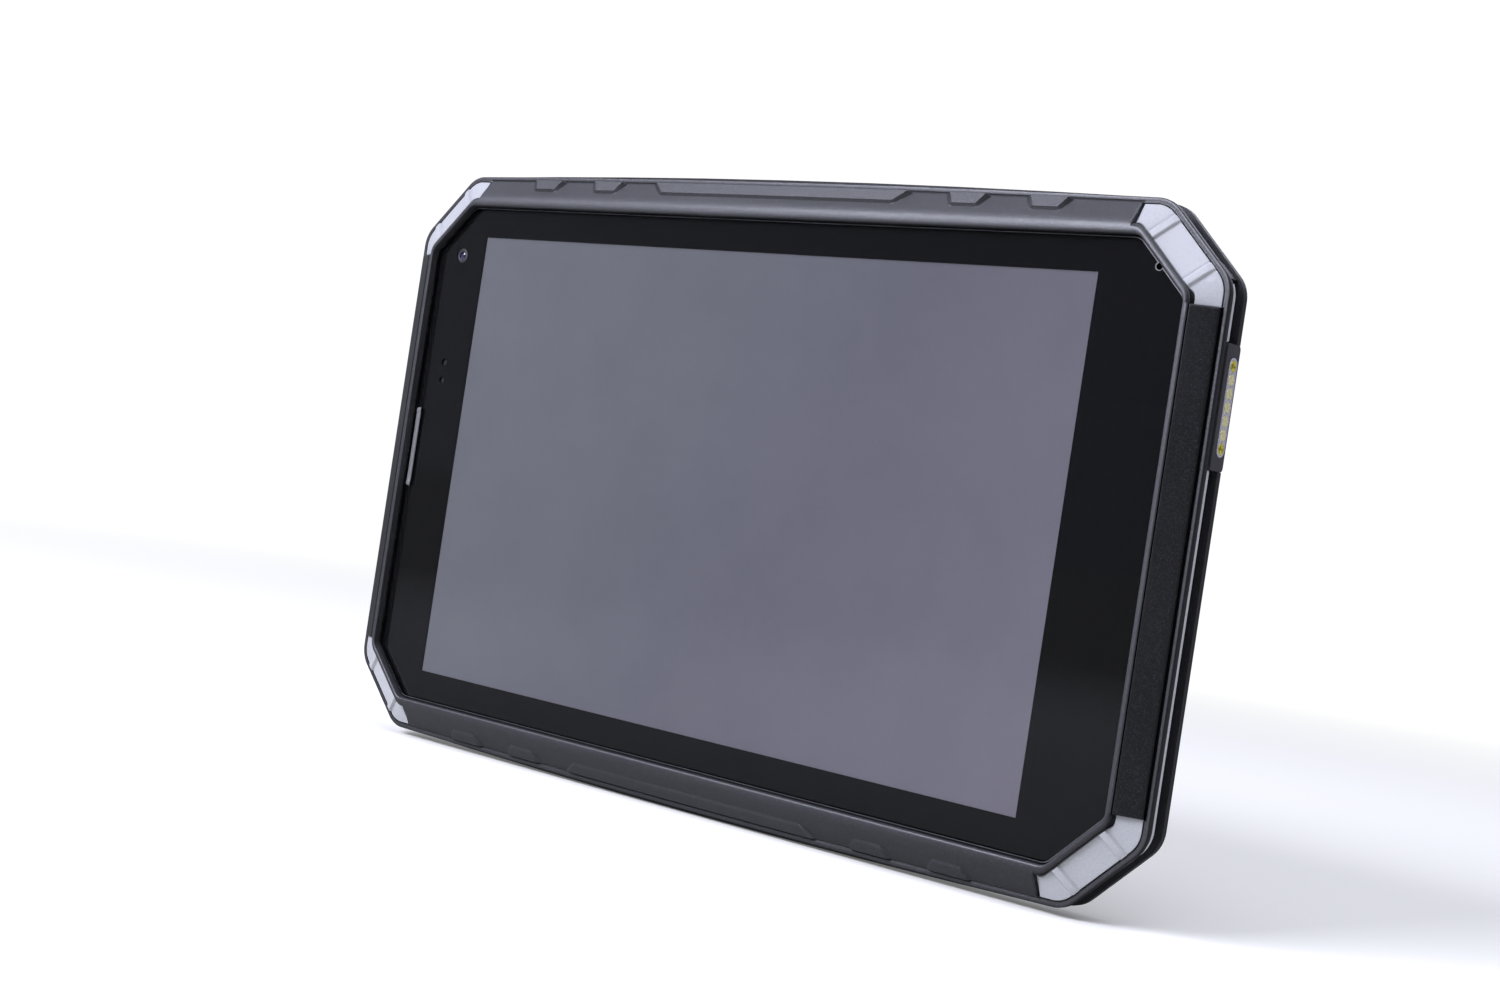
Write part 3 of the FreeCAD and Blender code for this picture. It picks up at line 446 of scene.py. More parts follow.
def elastomer(name, base, rough=0.55, grain=0.05):
    """Soft-touch moulded elastomer: fine orange peel, rubbed edges, painted shade darkening the
    creases.
    """
    m = material(name)
    fine = m.noise(scale=5200.0, detail=3.0, rough=0.6)
    mid = m.noise(scale=420.0, detail=3.0, rough=0.6)
    broad = m.noise(scale=45.0)
    speck = m.noise(scale=2600.0, detail=3.0, rough=0.65)
    color = m.shades(m.spread(speck), base, dark=1.0 - grain, light=1.0 + grain)
    clouds = m.math("MULTIPLY", m.spread(broad, span=(0.35, 0.7)), 0.35)
    color = m.mix(clouds, color, scaled(base, 0.90))
    color = m.mix(m.edges(span=(0.51, 0.56), amount=0.35), color, scaled(base, 1.22))
    # painted shade: the creases are darkened, in patches set by noise
    painted_crease_shade = m.edges(span=(0.49, 0.43), amount=m.spread(mid, low=0.15, high=0.5))
    color = m.mix(painted_crease_shade, color, scaled(base, 0.45))
    roughness = m.math("ADD", m.spread(mid, rough - 0.06, rough + 0.06),
                       m.spread(fine, low=-0.03, high=0.03))
    peel = m.math("ADD", fine, m.math("MULTIPLY", mid, 0.4))
    return m.finish(m.principled(
        Base_Color=color, Roughness=roughness, Normal=m.bump(peel, strength=0.22),
        Specular_IOR_Level=0.45, Sheen_Weight=0.15, Sheen_Roughness=0.5))


def plastic(name, base, rough=0.5, bump=0.25, scale=3000.0, metallic=0.0):
    m = material(name)
    fine = m.noise(scale=scale, detail=3.0, rough=0.6)
    broad = m.noise(scale=60.0)
    color = m.shades(m.spread(fine), base, dark=0.85, light=1.18)
    color = m.mix(m.edges(span=(0.515, 0.56), amount=0.3), color, scaled(base, 2.0))
    roughness = m.math("ADD", m.spread(fine, rough - 0.08, rough + 0.08, span=(0.2, 0.8)),
                       m.spread(broad, low=-0.05, high=0.05))
    return m.finish(m.principled(
        Base_Color=color, Roughness=roughness, Metallic=metallic, Specular_IOR_Level=0.5,
        Normal=m.bump(fine, strength=bump)))


def metal(name, base, rough, scale=(200.0, 200.0, 9000.0)):
    """Metal with micro-scratches, stretched by scale, and faint tarnish."""
    m = material(name)
    mapping = m.add("ShaderNodeMapping", Scale=scale)
    m.link(m.position, mapping.inputs["Vector"])
    lines = m.noise(scale=1.0, detail=4.0, rough=0.7, vector=mapping.outputs[0])
    blot = m.noise(scale=700.0, detail=3.0, rough=0.6)
    color = m.shades(m.spread(lines), base, dark=0.88, light=1.08)
    tarnish = m.math("MULTIPLY", m.spread(blot, span=(0.45, 0.75)), 0.25)
    color = m.mix(tarnish, color, scaled(base, 0.7))
    roughness = m.math("ADD", m.spread(lines, rough - 0.06, rough + 0.08),
                       m.spread(blot, low=-0.03, high=0.05))
    return m.finish(m.principled(
        Base_Color=color, Roughness=roughness, Metallic=1.0,
        Normal=m.bump(lines, strength=0.12, distance=0.00003)))


def lens(name, base):
    """Coated glass that turns violet towards its rim."""
    m = material(name)
    facing = m.add("ShaderNodeLayerWeight", Blend=0.35).outputs["Facing"]
    color = m.mix(facing, base, (0.05, 0.02, 0.09))
    roughness = m.spread(m.noise(scale=1500.0), low=0.03, high=0.08)
    return m.finish(m.principled(Base_Color=color, Roughness=roughness, Coat_Weight=1.0,
                                 Specular_IOR_Level=0.8))


def border_ink():
    """Black border print seen through polished glass."""
    m = material("border_ink")
    fine = m.noise(scale=3200.0)
    color = m.shades(m.spread(fine), (0.0050, 0.0050, 0.0054), dark=0.9, light=1.1)
    return m.finish(m.principled(Base_Color=color, Roughness=m.smear(0.02), IOR=1.36,
                                 Specular_IOR_Level=0.5))


def clear_glass():
    """Clear bonded glass; its surface gloss sits on the layers bonded behind it."""
    m = material("cover_glass_clear")
    pane = m.add("ShaderNodeBsdfTransparent")
    wipes = m.spread(m.noise(scale=52.0, detail=4.0, rough=0.6), span=(0.4, 0.75))
    m.link(m.mix(wipes, (1.0, 1.0, 1.0), (0.975, 0.978, 0.98)), pane.inputs["Color"])
    return m.finish(pane.outputs[0])


# Active display area: centre x, half width, half height
ACTIVE_X, ACTIVE_HALF_W, ACTIVE_HALF_H = -2.15, 86.1, 53.8


def display_field():
    """Blank lit panel: lavender-grey field with fine grain, dark outside the active area."""
    diffuse_share, glow = 0.35, 0.50
    field = [(0.0, srgb(113, 115, 122)), (0.5, srgb(109, 108, 119)),
             (0.8, srgb(116, 114, 126)), (1.0, srgb(124, 120, 131))]
    m = material("display_field")
    x, z = m.axis(0), m.axis(2)
    away_x = m.math("ABSOLUTE", m.math("SUBTRACT", x, ORIGIN_X + ACTIVE_X * MM))
    away_z = m.math("ABSOLUTE", m.math("SUBTRACT", z, ORIGIN_Z))
    inside = m.math("MULTIPLY", m.math("LESS_THAN", away_x, ACTIVE_HALF_W * MM),
                    m.math("LESS_THAN", away_z, ACTIVE_HALF_H * MM))
    # the tone runs along a slanting line across the field
    slant = m.math("SUBTRACT", x, m.math("MULTIPLY", z, 0.55))
    tone = m.ramp(m.spread(slant, span=(-0.13, 0.09)), field)
    mottle = m.spread(m.noise(scale=16.0))
    tone = m.mix(mottle, tone, m.mix(1.0, tone, (0.94, 0.95, 0.96), "MULTIPLY"))
    grain = m.math("MULTIPLY", m.noise(scale=2600.0), 0.06)
    tone = m.mix(grain, tone, (0.0, 0.0, 0.0))
    color = m.mix(inside, (0.006, 0.006, 0.007), tone)
    return m.finish(m.principled(
        Base_Color=m.mix(1.0, color, (diffuse_share,) * 3, "MULTIPLY"),
        Roughness=m.smear(0.02), IOR=1.36, Emission_Color=color, Emission_Strength=glow))


# ---- materials -----------------------------------------------------------------------
HOUSING = flake_plastic("housing_flake", (0.015, 0.015, 0.018), rough=0.46, metallic=0.05,
                        grain=0.35, tilt=0.15, cell=8500.0, sparkle=0.10, specular=1.0, wear=0.03)
REAR_SHELL = flake_plastic("rear_shell_flake", (0.020, 0.020, 0.023), rough=0.5, metallic=0.05,
                           grain=0.3, tilt=0.12, cell=7000.0, sparkle=0.03, bump=0.6, wear=0.1)
# darker, duller copy of the housing flake: painted shade for the side walls, the pockets under caps
# and panels, and the mid frame
HOUSING_SHADED = flake_plastic("housing_flake_painted_shade", (0.010, 0.010, 0.012), rough=0.48, metallic=0.04,
                          grain=0.35, tilt=0.15, cell=7000.0, sparkle=0.04, wear=0.1)
PANEL = flake_plastic("panel_sparkle", (0.0060, 0.0060, 0.0070), rough=0.40, metallic=0.04,
                      grain=0.3, tilt=0.18, cell=11000.0, sparkle=0.07, bump=0.15, wear=0.05,
                      specular=0.38, rare=0.90)
CAP = elastomer("cap_elastomer", (0.385, 0.39, 0.40), grain=0.09)
STRIP = elastomer("strip_elastomer", (0.50, 0.505, 0.53), rough=0.45)
INK = border_ink()
CLEAR_GLASS = clear_glass()
GLASS_EDGE = plastic("glass_ground_edge", (0.50, 0.50, 0.52), rough=0.35, bump=0.05,
                     metallic=0.6)
DISPLAY = display_field()
KEY_PLASTIC = plastic("key_plastic", (0.03, 0.031, 0.036), rough=0.42)
DOOR_RUBBER = elastomer("door_rubber", (0.028, 0.028, 0.031), rough=0.6)
DOCK = plastic("dock_plastic", (0.042, 0.040, 0.046), rough=0.48)
DOCK_INSERT = plastic("dock_insert_satin", (0.58, 0.565, 0.64), rough=0.4, metallic=0.35,
                      bump=0.1)
PAD_GOLD = plastic("pad_gold", (0.95, 0.86, 0.46), rough=0.3, metallic=0.6, bump=0.08)
SOCKET_GOLD = plastic("socket_gold", (0.78, 0.70, 0.14), rough=0.28, metallic=0.7, bump=0.08)
SCREW_STEEL = metal("screw_steel", (0.16, 0.16, 0.17), rough=0.34, scale=(2500.0,) * 3)
PIN_STEEL = metal("pin_steel", (0.55, 0.55, 0.57), rough=0.3)
BRASS = metal("insert_brass", (0.72, 0.52, 0.22), rough=0.3, scale=(3000.0, 300.0, 3000.0))
EARPIECE = plastic("earpiece_satin", (0.17, 0.17, 0.172), rough=0.42, metallic=0.3, bump=0.1,
                   scale=2400.0)
CAMERA_RING = metal("camera_ring_metal", (0.10, 0.10, 0.105), rough=0.45,
                    scale=(1500.0,) * 3)
SEAL_RUBBER = elastomer("seal_rubber", (0.015, 0.015, 0.016), rough=0.7)
COMPONENT = plastic("component_black", (0.012, 0.012, 0.013), rough=0.5)
BOARD = plastic("board_mask", (0.01, 0.08, 0.035), rough=0.4)
FOIL = plastic("battery_foil", (0.06, 0.06, 0.065), rough=0.35, metallic=0.5)
TIN = metal("shield_tin", (0.55, 0.55, 0.54), rough=0.3)
FLEX = plastic("flex_film", (0.25, 0.11, 0.025), rough=0.4)
LENS = lens("lens_coated", (0.01, 0.012, 0.03))
WINDOW = lens("window_smoked", (0.006, 0.006, 0.009))

# ---- front housing: raised pads on the long sides --------------------------------------
# Pads: centre x, width at the outer end, width at the inner end
PADS = [(0.0, 73.0, 66.0)] + [(s * c, 11.0, 7.2) for c in (50.5, 70.0) for s in (-1, 1)]
PAD_IN, PAD_OUT = 1.47, 1.985       # rho of a pad's inner and outer ends
SLOPE_RUN = 5.75                    # mm across the slope per unit of rho, for the pads
# Widths of the drafted walls: inner end, the same on the bottom side, left, right
WALL_IN, WALL_IN_LOW, WALL_LEFT, WALL_RIGHT = 0.45, 0.95, 1.35, 0.70


def pad_progress(rho):
    return clamp01((rho - PAD_IN) / (PAD_OUT - PAD_IN))


def pad_height(x, rho, low):
    """Pad top, a little flatter than the slope; on the low (bottom) side the pads are
    lower and softer."""
    if rho < PAD_IN or rho > 2.02:
        return 0.0
    q = pad_progress(rho)
    inner = (rho - PAD_IN) * SLOPE_RUN / (WALL_IN_LOW if low else WALL_IN)
    best = 0.0
    for center, outer_w, inner_w in PADS:
        half = inner_w / 2 + (outer_w / 2 - inner_w / 2) * q
        side = (half - abs(x - center)) / (WALL_LEFT if x < center else WALL_RIGHT)
        if side <= 0 or inner <= 0:
            continue
        d = 1.0 - math.hypot(max(1.0 - side, 0), max(1.0 - inner, 0))
        height = (0.30 + 0.36 * q) * smooth01(d) if low else (0.52 + 0.58 * q) * max(0.0, d)
        best = max(best, height)
    return best * 0.72 if rho > 1.97 else best


def warp_x(x, rho):
    """Moves the columns near a pad's side along with its slanting side wall."""
    q = pad_progress(rho)
    if q <= 0.0:
        return x
    for center, outer_w, inner_w in PADS:
        half, shift = inner_w / 2, (outer_w - inner_w) / 2 * q
        d = abs(x - center)
        if d > half + 5.9:
            continue
        sign = 1.0 if x > center else -1.0
        if d <= half - 1.5:
            f = d / (half - 1.5)
        elif d <= half + 0.3:
            f = 1.0
        else:
            f = 1.0 - (d - half - 0.3) / 5.6
        return x + sign * shift * max(0.0, f)
    return x


def long_side_columns():
    """Even columns, closer ones at the pads' side walls and at both ends."""
    even, walls = set(), set()
    x = -90.0
    while x <= 90.01:
        even.add(round(x, 3))
        x += 1.5
    for center, _, inner_w in PADS:
        for s in (-1, 1):
            wall = WALL_RIGHT if s > 0 else WALL_LEFT
            for k in range(9):
                walls.add(round(center + s * (inner_w / 2 - wall * k / 8), 3))
            for inset in (-0.3, -0.12, 1.65, 1.9, 2.3):
                even.add(round(center + s * (inner_w / 2 - inset), 3))
    ends = {s * x for x in (90.3, 90.5, 90.62, 90.7, 90.74) for s in (-1, 1)}
    columns = sorted(even | walls | ends)
    kept = [columns[0]]
    for x in columns[1:]:
        if x - kept[-1] > 0.035 or x in walls or abs(x) > 90.2:
            kept.append(x)
    return kept


# ---- front housing: rows of the shell ---------------------------------------------------
POCKET = 1.5                        # depth of the pockets under caps and panels
POCKET_IN, POCKET_OUT = 1.0381, 1.98
# Rows are rho, y at the corners, y on the short sides. The long sides follow dome_y
# from rho 0.2 to the end of the slope.
LIP_ROWS = [
    (0.0, 3.4, 3.4), (0.0, 0.4, 0.4), (0.0, -1.12, -1.12), (0.03, -1.28, -1.28),
    (0.09, -1.40, -1.40), (0.17, -1.47, -1.47), (0.27, -1.5, -1.5), (0.44, -1.5, -1.5),
    (0.60, -1.48, -1.5), (0.74, -1.42, -1.5), (0.87, -1.29, -1.5), (0.95, -1.12, -1.495),
    (1.0, -0.88, -1.47)]
SLOPE_RHOS = (
    [1.02, 1.038, POCKET_IN, 1.10, 1.2, 1.3, 1.4, 1.44, PAD_IN]
    + [round(PAD_IN + WALL_IN / SLOPE_RUN * i / 6, 5) for i in range(1, 7)]
    + [1.57, 1.60, 1.65, 1.70, 1.76, 1.82, 1.88, 1.93, 1.96, POCKET_OUT, 1.9801, 1.992])
# rho, y: groove, outer rim and back edge
GROOVE_ROWS = [
    (2.0, 2.02), (2.03, 2.1), (2.08, 2.38), (2.45, 2.5), (2.85, 2.46), (2.93, 2.34),
    (2.99, 2.27), (3.1, 2.25), (3.35, 2.25), (3.6, 2.27), (3.8, 2.31), (3.92, 2.38),
    (3.98, 2.48), (4.0, 2.6), (4.0, 3.05), (4.0, 3.45), (3.97, 3.56), (3.8, 3.6), (1.2, 3.6)]
SLOPE_ROWS = [(r, Y_SHOULDER + (Y_SLOPE_END - Y_SHOULDER) * (r - 1.0)) for r in SLOPE_RHOS]
FRONT_ROWS = LIP_ROWS + [(r, y, y) for r, y in SLOPE_ROWS + GROOVE_ROWS]
FIRST_BACK_ROW = len(FRONT_ROWS) - 3
FIRST_DARK_ROW = len(FRONT_ROWS) - 9
SHOULDER_ROW = len(LIP_ROWS) - 1
POCKET_END_ROW = SLOPE_RHOS.index(POCKET_OUT) + len(LIP_ROWS)
PANEL_EDGE_Y = {1.02: -1.42, 1.038: -1.31}      # rho: y just inside a side panel

DOME_START, DOME_FULL = 0.30, 3.6   # mm across the lip where the fall begins and is full


def dome_y(z):
    """Long sides: the lip rolls over into the slope without a break."""
    d = abs(z) - LIP_IN.half_h
    end = SLOPE_END.half_h - LIP_IN.half_h
    gradient = (Y_SLOPE_END - Y_LIP) / (end - (DOME_START + DOME_FULL) / 2)
    if d <= DOME_START:
        return Y_LIP
    t = min(1.0, (d - DOME_START) / (DOME_FULL - DOME_START))
    y = Y_LIP + gradient * (DOME_FULL - DOME_START) * (t ** 3 - t ** 4 / 2)
    if d > DOME_FULL:
        y += gradient * (d - DOME_FULL)
    return y


def front_point(row, key):
    rho, corner_y, side_y = FRONT_ROWS[row]
    kind = key[0]
    x, z = ring_point(ring_at(rho), key)
    y = side_y if kind in "RL" else corner_y
    if kind in "TB" and 0.2 < rho < 2.0 and row < FIRST_BACK_ROW:
        # take the bow out of z, so that the dome is the same all along
        bow = 1 - (key[1] / CAP_X) ** 2
        y = dome_y(abs(z) - LIP_OUT.bow * bow * min(rho, 1.0)
                   - (SLOPE_END.bow - LIP_OUT.bow) * bow * max(0.0, rho - 1.0))
    if row >= FIRST_BACK_ROW or row < len(LIP_ROWS):
        return (x, y, z)
    normal = slope_normal(key)
    if kind in "TB":
        x = warp_x(x, rho)
        lift = pad_height(x, rho, kind == "B")
        if 1.02 < rho <= POCKET_OUT:
            lift += edge_round(CAP_X - abs(key[1]), 0.4)
        return (x, y + normal[1] * lift, z + normal[2] * lift)
    if kind == "C" and key[3:] == (RUN_X, 0.0):
        return (x, y, z)
    if POCKET_IN <= rho <= POCKET_OUT:
        return (x - normal[0] * POCKET, y - normal[1] * POCKET, z - normal[2] * POCKET)
    if kind == "C":
        if POCKET_OUT < rho < 2.0:
            y = 2.6
        elif rho == 2.0:
            y = 2.33
        elif 2.0 < rho < 3.05:
            y = min(y, 2.26)
    elif rho in PANEL_EDGE_Y:
        y = PANEL_EDGE_Y[rho]
    elif POCKET_OUT < rho <= 2.86:
        y = 3.1
    return (x, y, z)


def front_material(row, kind_a, kind_b):
    """1, the darker copy of the housing with painted shade, for side walls and the pockets under
    the pads; else 0.
    """
    if row >= FIRST_DARK_ROW:
        return 1
    first = SHOULDER_ROW if "C" in (kind_a, kind_b) else SHOULDER_ROW + 2
    return int(kind_a in "CRL" and kind_b in "CRL" and first <= row <= POCKET_END_ROW)


def front_shell():
    """Closed tube: the rows carried round all columns."""
    short_z = [round(-48.3 + 96.6 * i / 40, 3) for i in range(41)]
    keys = closed_keys(long_side_columns(), short_z, (8, 14, 26, 14, 8))
    rows, cols = len(FRONT_ROWS), len(keys)
    verts = [place(*front_point(row, key)) for row in range(rows) for key in keys]
    ids = [front_material(row, keys[j][0], keys[(j + 1) % cols][0])
           for row in range(rows) for j in range(cols)]
    make_piece("front_frame_shell", verts, grid_faces(rows, cols, True, True),
               [HOUSING, HOUSING_SHADED], ids, sharp=38.0, weld=1e-7,
               replaces=("front_frame",))


front_shell()

# ---- corner caps -------------------------------------------------------------------
CAP_LIFT, CAP_RISE = -0.68, 0.45    # lift at the inner edge, rise to the outer edge
CAP_GAP = 0.42                      # from CAP_X to the cap's end
CAP_DEPTH = -1.35
RIBS = (23.97, 36.45)               # rib places along the chamfer direction
CAP_WIDE, CAP_SLIM = 1.175, 1.07    # rho of the inner edge
CAP_RHO_OUT = 1.994
CAP_STEPS = [0.0, 0.004, 0.012, 0.025, 0.045, 0.075, 0.12, 0.2, 0.3, 0.4, 0.5, 0.6, 0.7, 0.8,
             0.88, 0.93, 0.96, 0.975, 0.985, 0.993, 0.998, 1.0]


def cap_keys(sign_x, sign_z):
    stations = [(RUN_X, d / 3.4) for d in (CAP_GAP, 0.45, 0.5, 0.58, 0.7, 0.9, 1.3, 1.9, 2.6)]
    for segment, n in ((FILLET_X, 14), (CHAMFER, 118), (FILLET_Z, 14)):
        stations += [(segment, (i + 0.5) / n) for i in range(n)]
    stations += [(RUN_Z, 1.0 - d / 2.4)
                 for d in (1.9, 1.2, 0.8, 0.5, 0.3, 0.15, 0.06, 0.0, -0.05)]
    return [("C", sign_x, sign_z, segment, t) for segment, t in stations]


def cap_rho(step, key):
    """Inner edge: a wide channel beside the lip on the straights, a narrow one on the chamfer."""
    segment, u = key[3:]
    widen = CAP_WIDE - CAP_SLIM
    rho_in = CAP_SLIM
    if segment in (RUN_X, RUN_Z):
        rho_in = CAP_WIDE
    elif segment == FILLET_X:
        rho_in = CAP_WIDE - widen * smooth01(u)
    elif segment == FILLET_Z:
        rho_in = CAP_SLIM + widen * (0.12 + 0.88 * smooth01(u / 0.55))
    elif u > 0.93:
        rho_in = CAP_SLIM + widen * 0.12 * smooth01((u - 0.93) / 0.07)
    return rho_in + (CAP_RHO_OUT - rho_in) * step


def cap_lift(step, key):
    x, z = ring_point(ring_at(cap_rho(step, key)), key)
    along = (abs(x) - abs(z)) / math.sqrt(2)
    lift = CAP_LIFT + CAP_RISE * step
    for rib in RIBS:
        d = along - rib
        if abs(d) < 1.5:
            height = 0.62 * smooth01((1.10 - d) / 0.62) * smooth01((1.05 + d) / 0.36)
            lift += height * (1.0 - 0.45 * smooth01((step - 0.8) / 0.2))
        if -1.5 < d < -1.0:         # shallow groove at the foot of the rib
            lift -= 0.09 * smooth01((d + 1.5) / 0.2) * smooth01((-1.0 - d) / 0.15)
    width = 5.3 if key[3] == CHAMFER else 4.85
    lift += edge_round(step * width, 0.22)
    lift += edge_round((1.0 - step) * width, 0.12)
    if key[3] == RUN_X:
        lift += edge_round(abs(x) - (CAP_X + CAP_GAP), 0.25)
    if key[3] == RUN_Z:
        lift += edge_round(abs(z) - 48.52, 0.12)
    return lift


for corner, sign_x, sign_z in (("tl", -1, 1), ("tr", 1, 1), ("bl", -1, -1), ("br", 1, -1)):
    slope_pad("corner_cap_%s_pad" % corner, cap_keys(sign_x, sign_z), CAP_STEPS, cap_lift,
              CAP_DEPTH, [CAP], ("corner_cap_" + corner,), rho_at=cap_rho)

# ---- side panels ---------------------------------------------------------------------
PANEL_LIFT, PANEL_DEPTH = 0.60, -1.3
PANEL_RUN = 5.6                     # mm across the panel per unit of rho
PANEL_RHOS = [1.042, 1.046, 1.055, 1.07, 1.1, 1.2, 1.35, 1.5, 1.65, 1.8, 1.90, 1.935, 1.955,
              1.968, 1.977, 1.983]
PANEL_ENDS = [48.47, 48.46, 48.43, 48.37, 48.27, 48.1, 47.8, 47.3]
PANEL_Z = [-z for z in PANEL_ENDS] + [-46 + 2.3 * i for i in range(41)] + PANEL_ENDS[::-1]


def panel_lift(rho, key):
    lift = PANEL_LIFT
    lift += edge_round((rho - PANEL_RHOS[0]) * PANEL_RUN, 0.12)
    lift += edge_round((PANEL_RHOS[-1] - rho) * PANEL_RUN, 0.45)
    lift += edge_round(PANEL_ENDS[0] - abs(key[1]), 0.40)
    return lift


for side, kind in (("left", "L"), ("right", "R")):
    slope_pad("side_panel_%s_trim" % side, [(kind, z) for z in PANEL_Z], PANEL_RHOS, panel_lift,
              PANEL_DEPTH, [PANEL], ("side_panel_" + side,))

# ---- cover glass ------------------------------------------------------------------------
MIC = (97.85, 55.6)                 # microphone, beside the upper right chamfer
NOTCH_RADIUS, NOTCH_DEPTH = 0.72, 0.35


def notch_arc(start, end, inset):
    """Arc for the microphone notch, from the chamfer through the inside of the glass."""
    radius, depth = NOTCH_RADIUS + inset, NOTCH_DEPTH - inset
    start = Vector(start)
    along = (Vector(end) - start).normalized()
    foot = start + along * (Vector(MIC) - start).dot(along)
    inward = Vector((-1, -1)).normalized()
    center = foot + inward * depth
    half_chord = math.sqrt(max(0.01, radius * radius - depth * depth))

    def angle(v):
        return math.atan2(v.y, v.x) % math.tau

    first = angle(foot - along * half_chord - center)
    last = angle(foot + along * half_chord - center)
    to_inside = (angle(inward) - first) % math.tau
    span = (last - first) % math.tau
    if to_inside >= span:
        span -= math.tau
    angles = [first + span * i / 16 for i in range(17)]
    return [(center.x + radius * math.cos(a), center.y + radius * math.sin(a)) for a in angles]


def glass_outline(inset):
    """Outline of the glass, moved inwards, with the notch in the upper right chamfer."""
    ring = Ring(GLASS.half_w - inset, GLASS.half_h - inset, GLASS.cut - inset * 0.5858,
                max(0.6, GLASS.fillet - inset), 0.0)
    keys = closed_keys([-90.0, 0.0, 90.0], [-47.0, 0.0, 47.0], (2, 8, 2, 8, 2))
    points = [ring_point(ring, key) for key in keys]
    outline = []
    notched = False
    for i, p in enumerate(points):
        q = points[(i + 1) % len(points)]
        outline.append(p)
        if not notched and p[0] > 90 and q[0] > p[0] + 3 and q[1] < p[1] - 3:
            notched = True
            outline += notch_arc(p, q, inset)
    return outline


def cover_glass():
    # inset of the outline, y: from the back up over the ground edge to the front
    levels = [(0.0, 1.1), (0.0, 0.15), (0.015, 0.13), (0.15, 0.012), (0.17, 0.0)]
    verts = [place(x, y, z) for inset, y in levels for x, z in glass_outline(inset)]
    n = len(verts) // len(levels)
    faces = grid_faces(len(levels), n, close_cols=True)
    faces.append(tuple(range((len(levels) - 1) * n, len(levels) * n)))
    faces.append(tuple(range(n - 1, -1, -1)))
    ids = [2] * n + [1] * n * (len(levels) - 2) + [0, 0]
    make_piece("cover_glass_slab", verts, faces, [CLEAR_GLASS, GLASS_EDGE, INK],
               ids, sharp=20.0, replaces=("cover_glass", "optical_bond"))


cover_glass()

# ---- border print behind the glass ------------------------------------------------------
# Round openings: x, z, radius; the camera, then two sensors
PRINT_HOLES = [(-96.2, 48.9, 1.85), (-96.8, 22.15, 0.85), (-96.8, 17.7, 0.85)]
PRINT_INSET, PRINT_Y, PRINT_THICK = 0.35, 1.0, 0.04


def circle(cx, cz, radius, n=28):
    return [(cx + radius * math.cos(2 * math.pi * i / n),
             cz + radius * math.sin(2 * math.pi * i / n)) for i in range(n)]


def border_print():
    """Flat plate with openings, filled between the loops and then thickened."""
    active = [(ACTIVE_X + sx * ACTIVE_HALF_W, sz * ACTIVE_HALF_H)
              for sx, sz in ((-1, -1), (1, -1), (1, 1), (-1, 1))]
    loops = [glass_outline(PRINT_INSET), active] + [circle(*hole) for hole in PRINT_HOLES]
    bm = bmesh.new()
    edges = []
    for loop in loops:
        verts = [bm.verts.new(place(x, PRINT_Y, z)) for x, z in loop]
        for i, vert in enumerate(verts):
            edges.append(bm.edges.new((vert, verts[(i + 1) % len(verts)])))
    bmesh.ops.triangle_fill(bm, use_beauty=True, use_dissolve=False, edges=edges)
    made = bmesh.ops.extrude_face_region(bm, geom=list(bm.faces))["geom"]
    verts = [item for item in made if isinstance(item, bmesh.types.BMVert)]
    bmesh.ops.translate(bm, verts=verts, vec=Vector((0, PRINT_THICK * MM, 0)))
    bmesh.ops.recalc_face_normals(bm, faces=bm.faces)
    mesh = bpy.data.meshes.new("border_print")
    bm.to_mesh(mesh)
    bm.free()
    mesh.materials.append(INK)
    ob = link_object("border_print", mesh)
    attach(ob, BODY)


border_print()

# ---- earpiece bar -----------------------------------------------------------------------
EAR_X, EAR_HALF_W = -102.40, 0.70
EAR_LOW, EAR_HIGH = -9.5, 10.3      # z of the two ends
EAR_TIP, EAR_TIP_STEPS = 1.4, 26    # length of a smooth end, and its steps
RIB_PITCH, RIB_HEIGHT = 0.42, 0.022
EAR_BACK_Y = 1.0


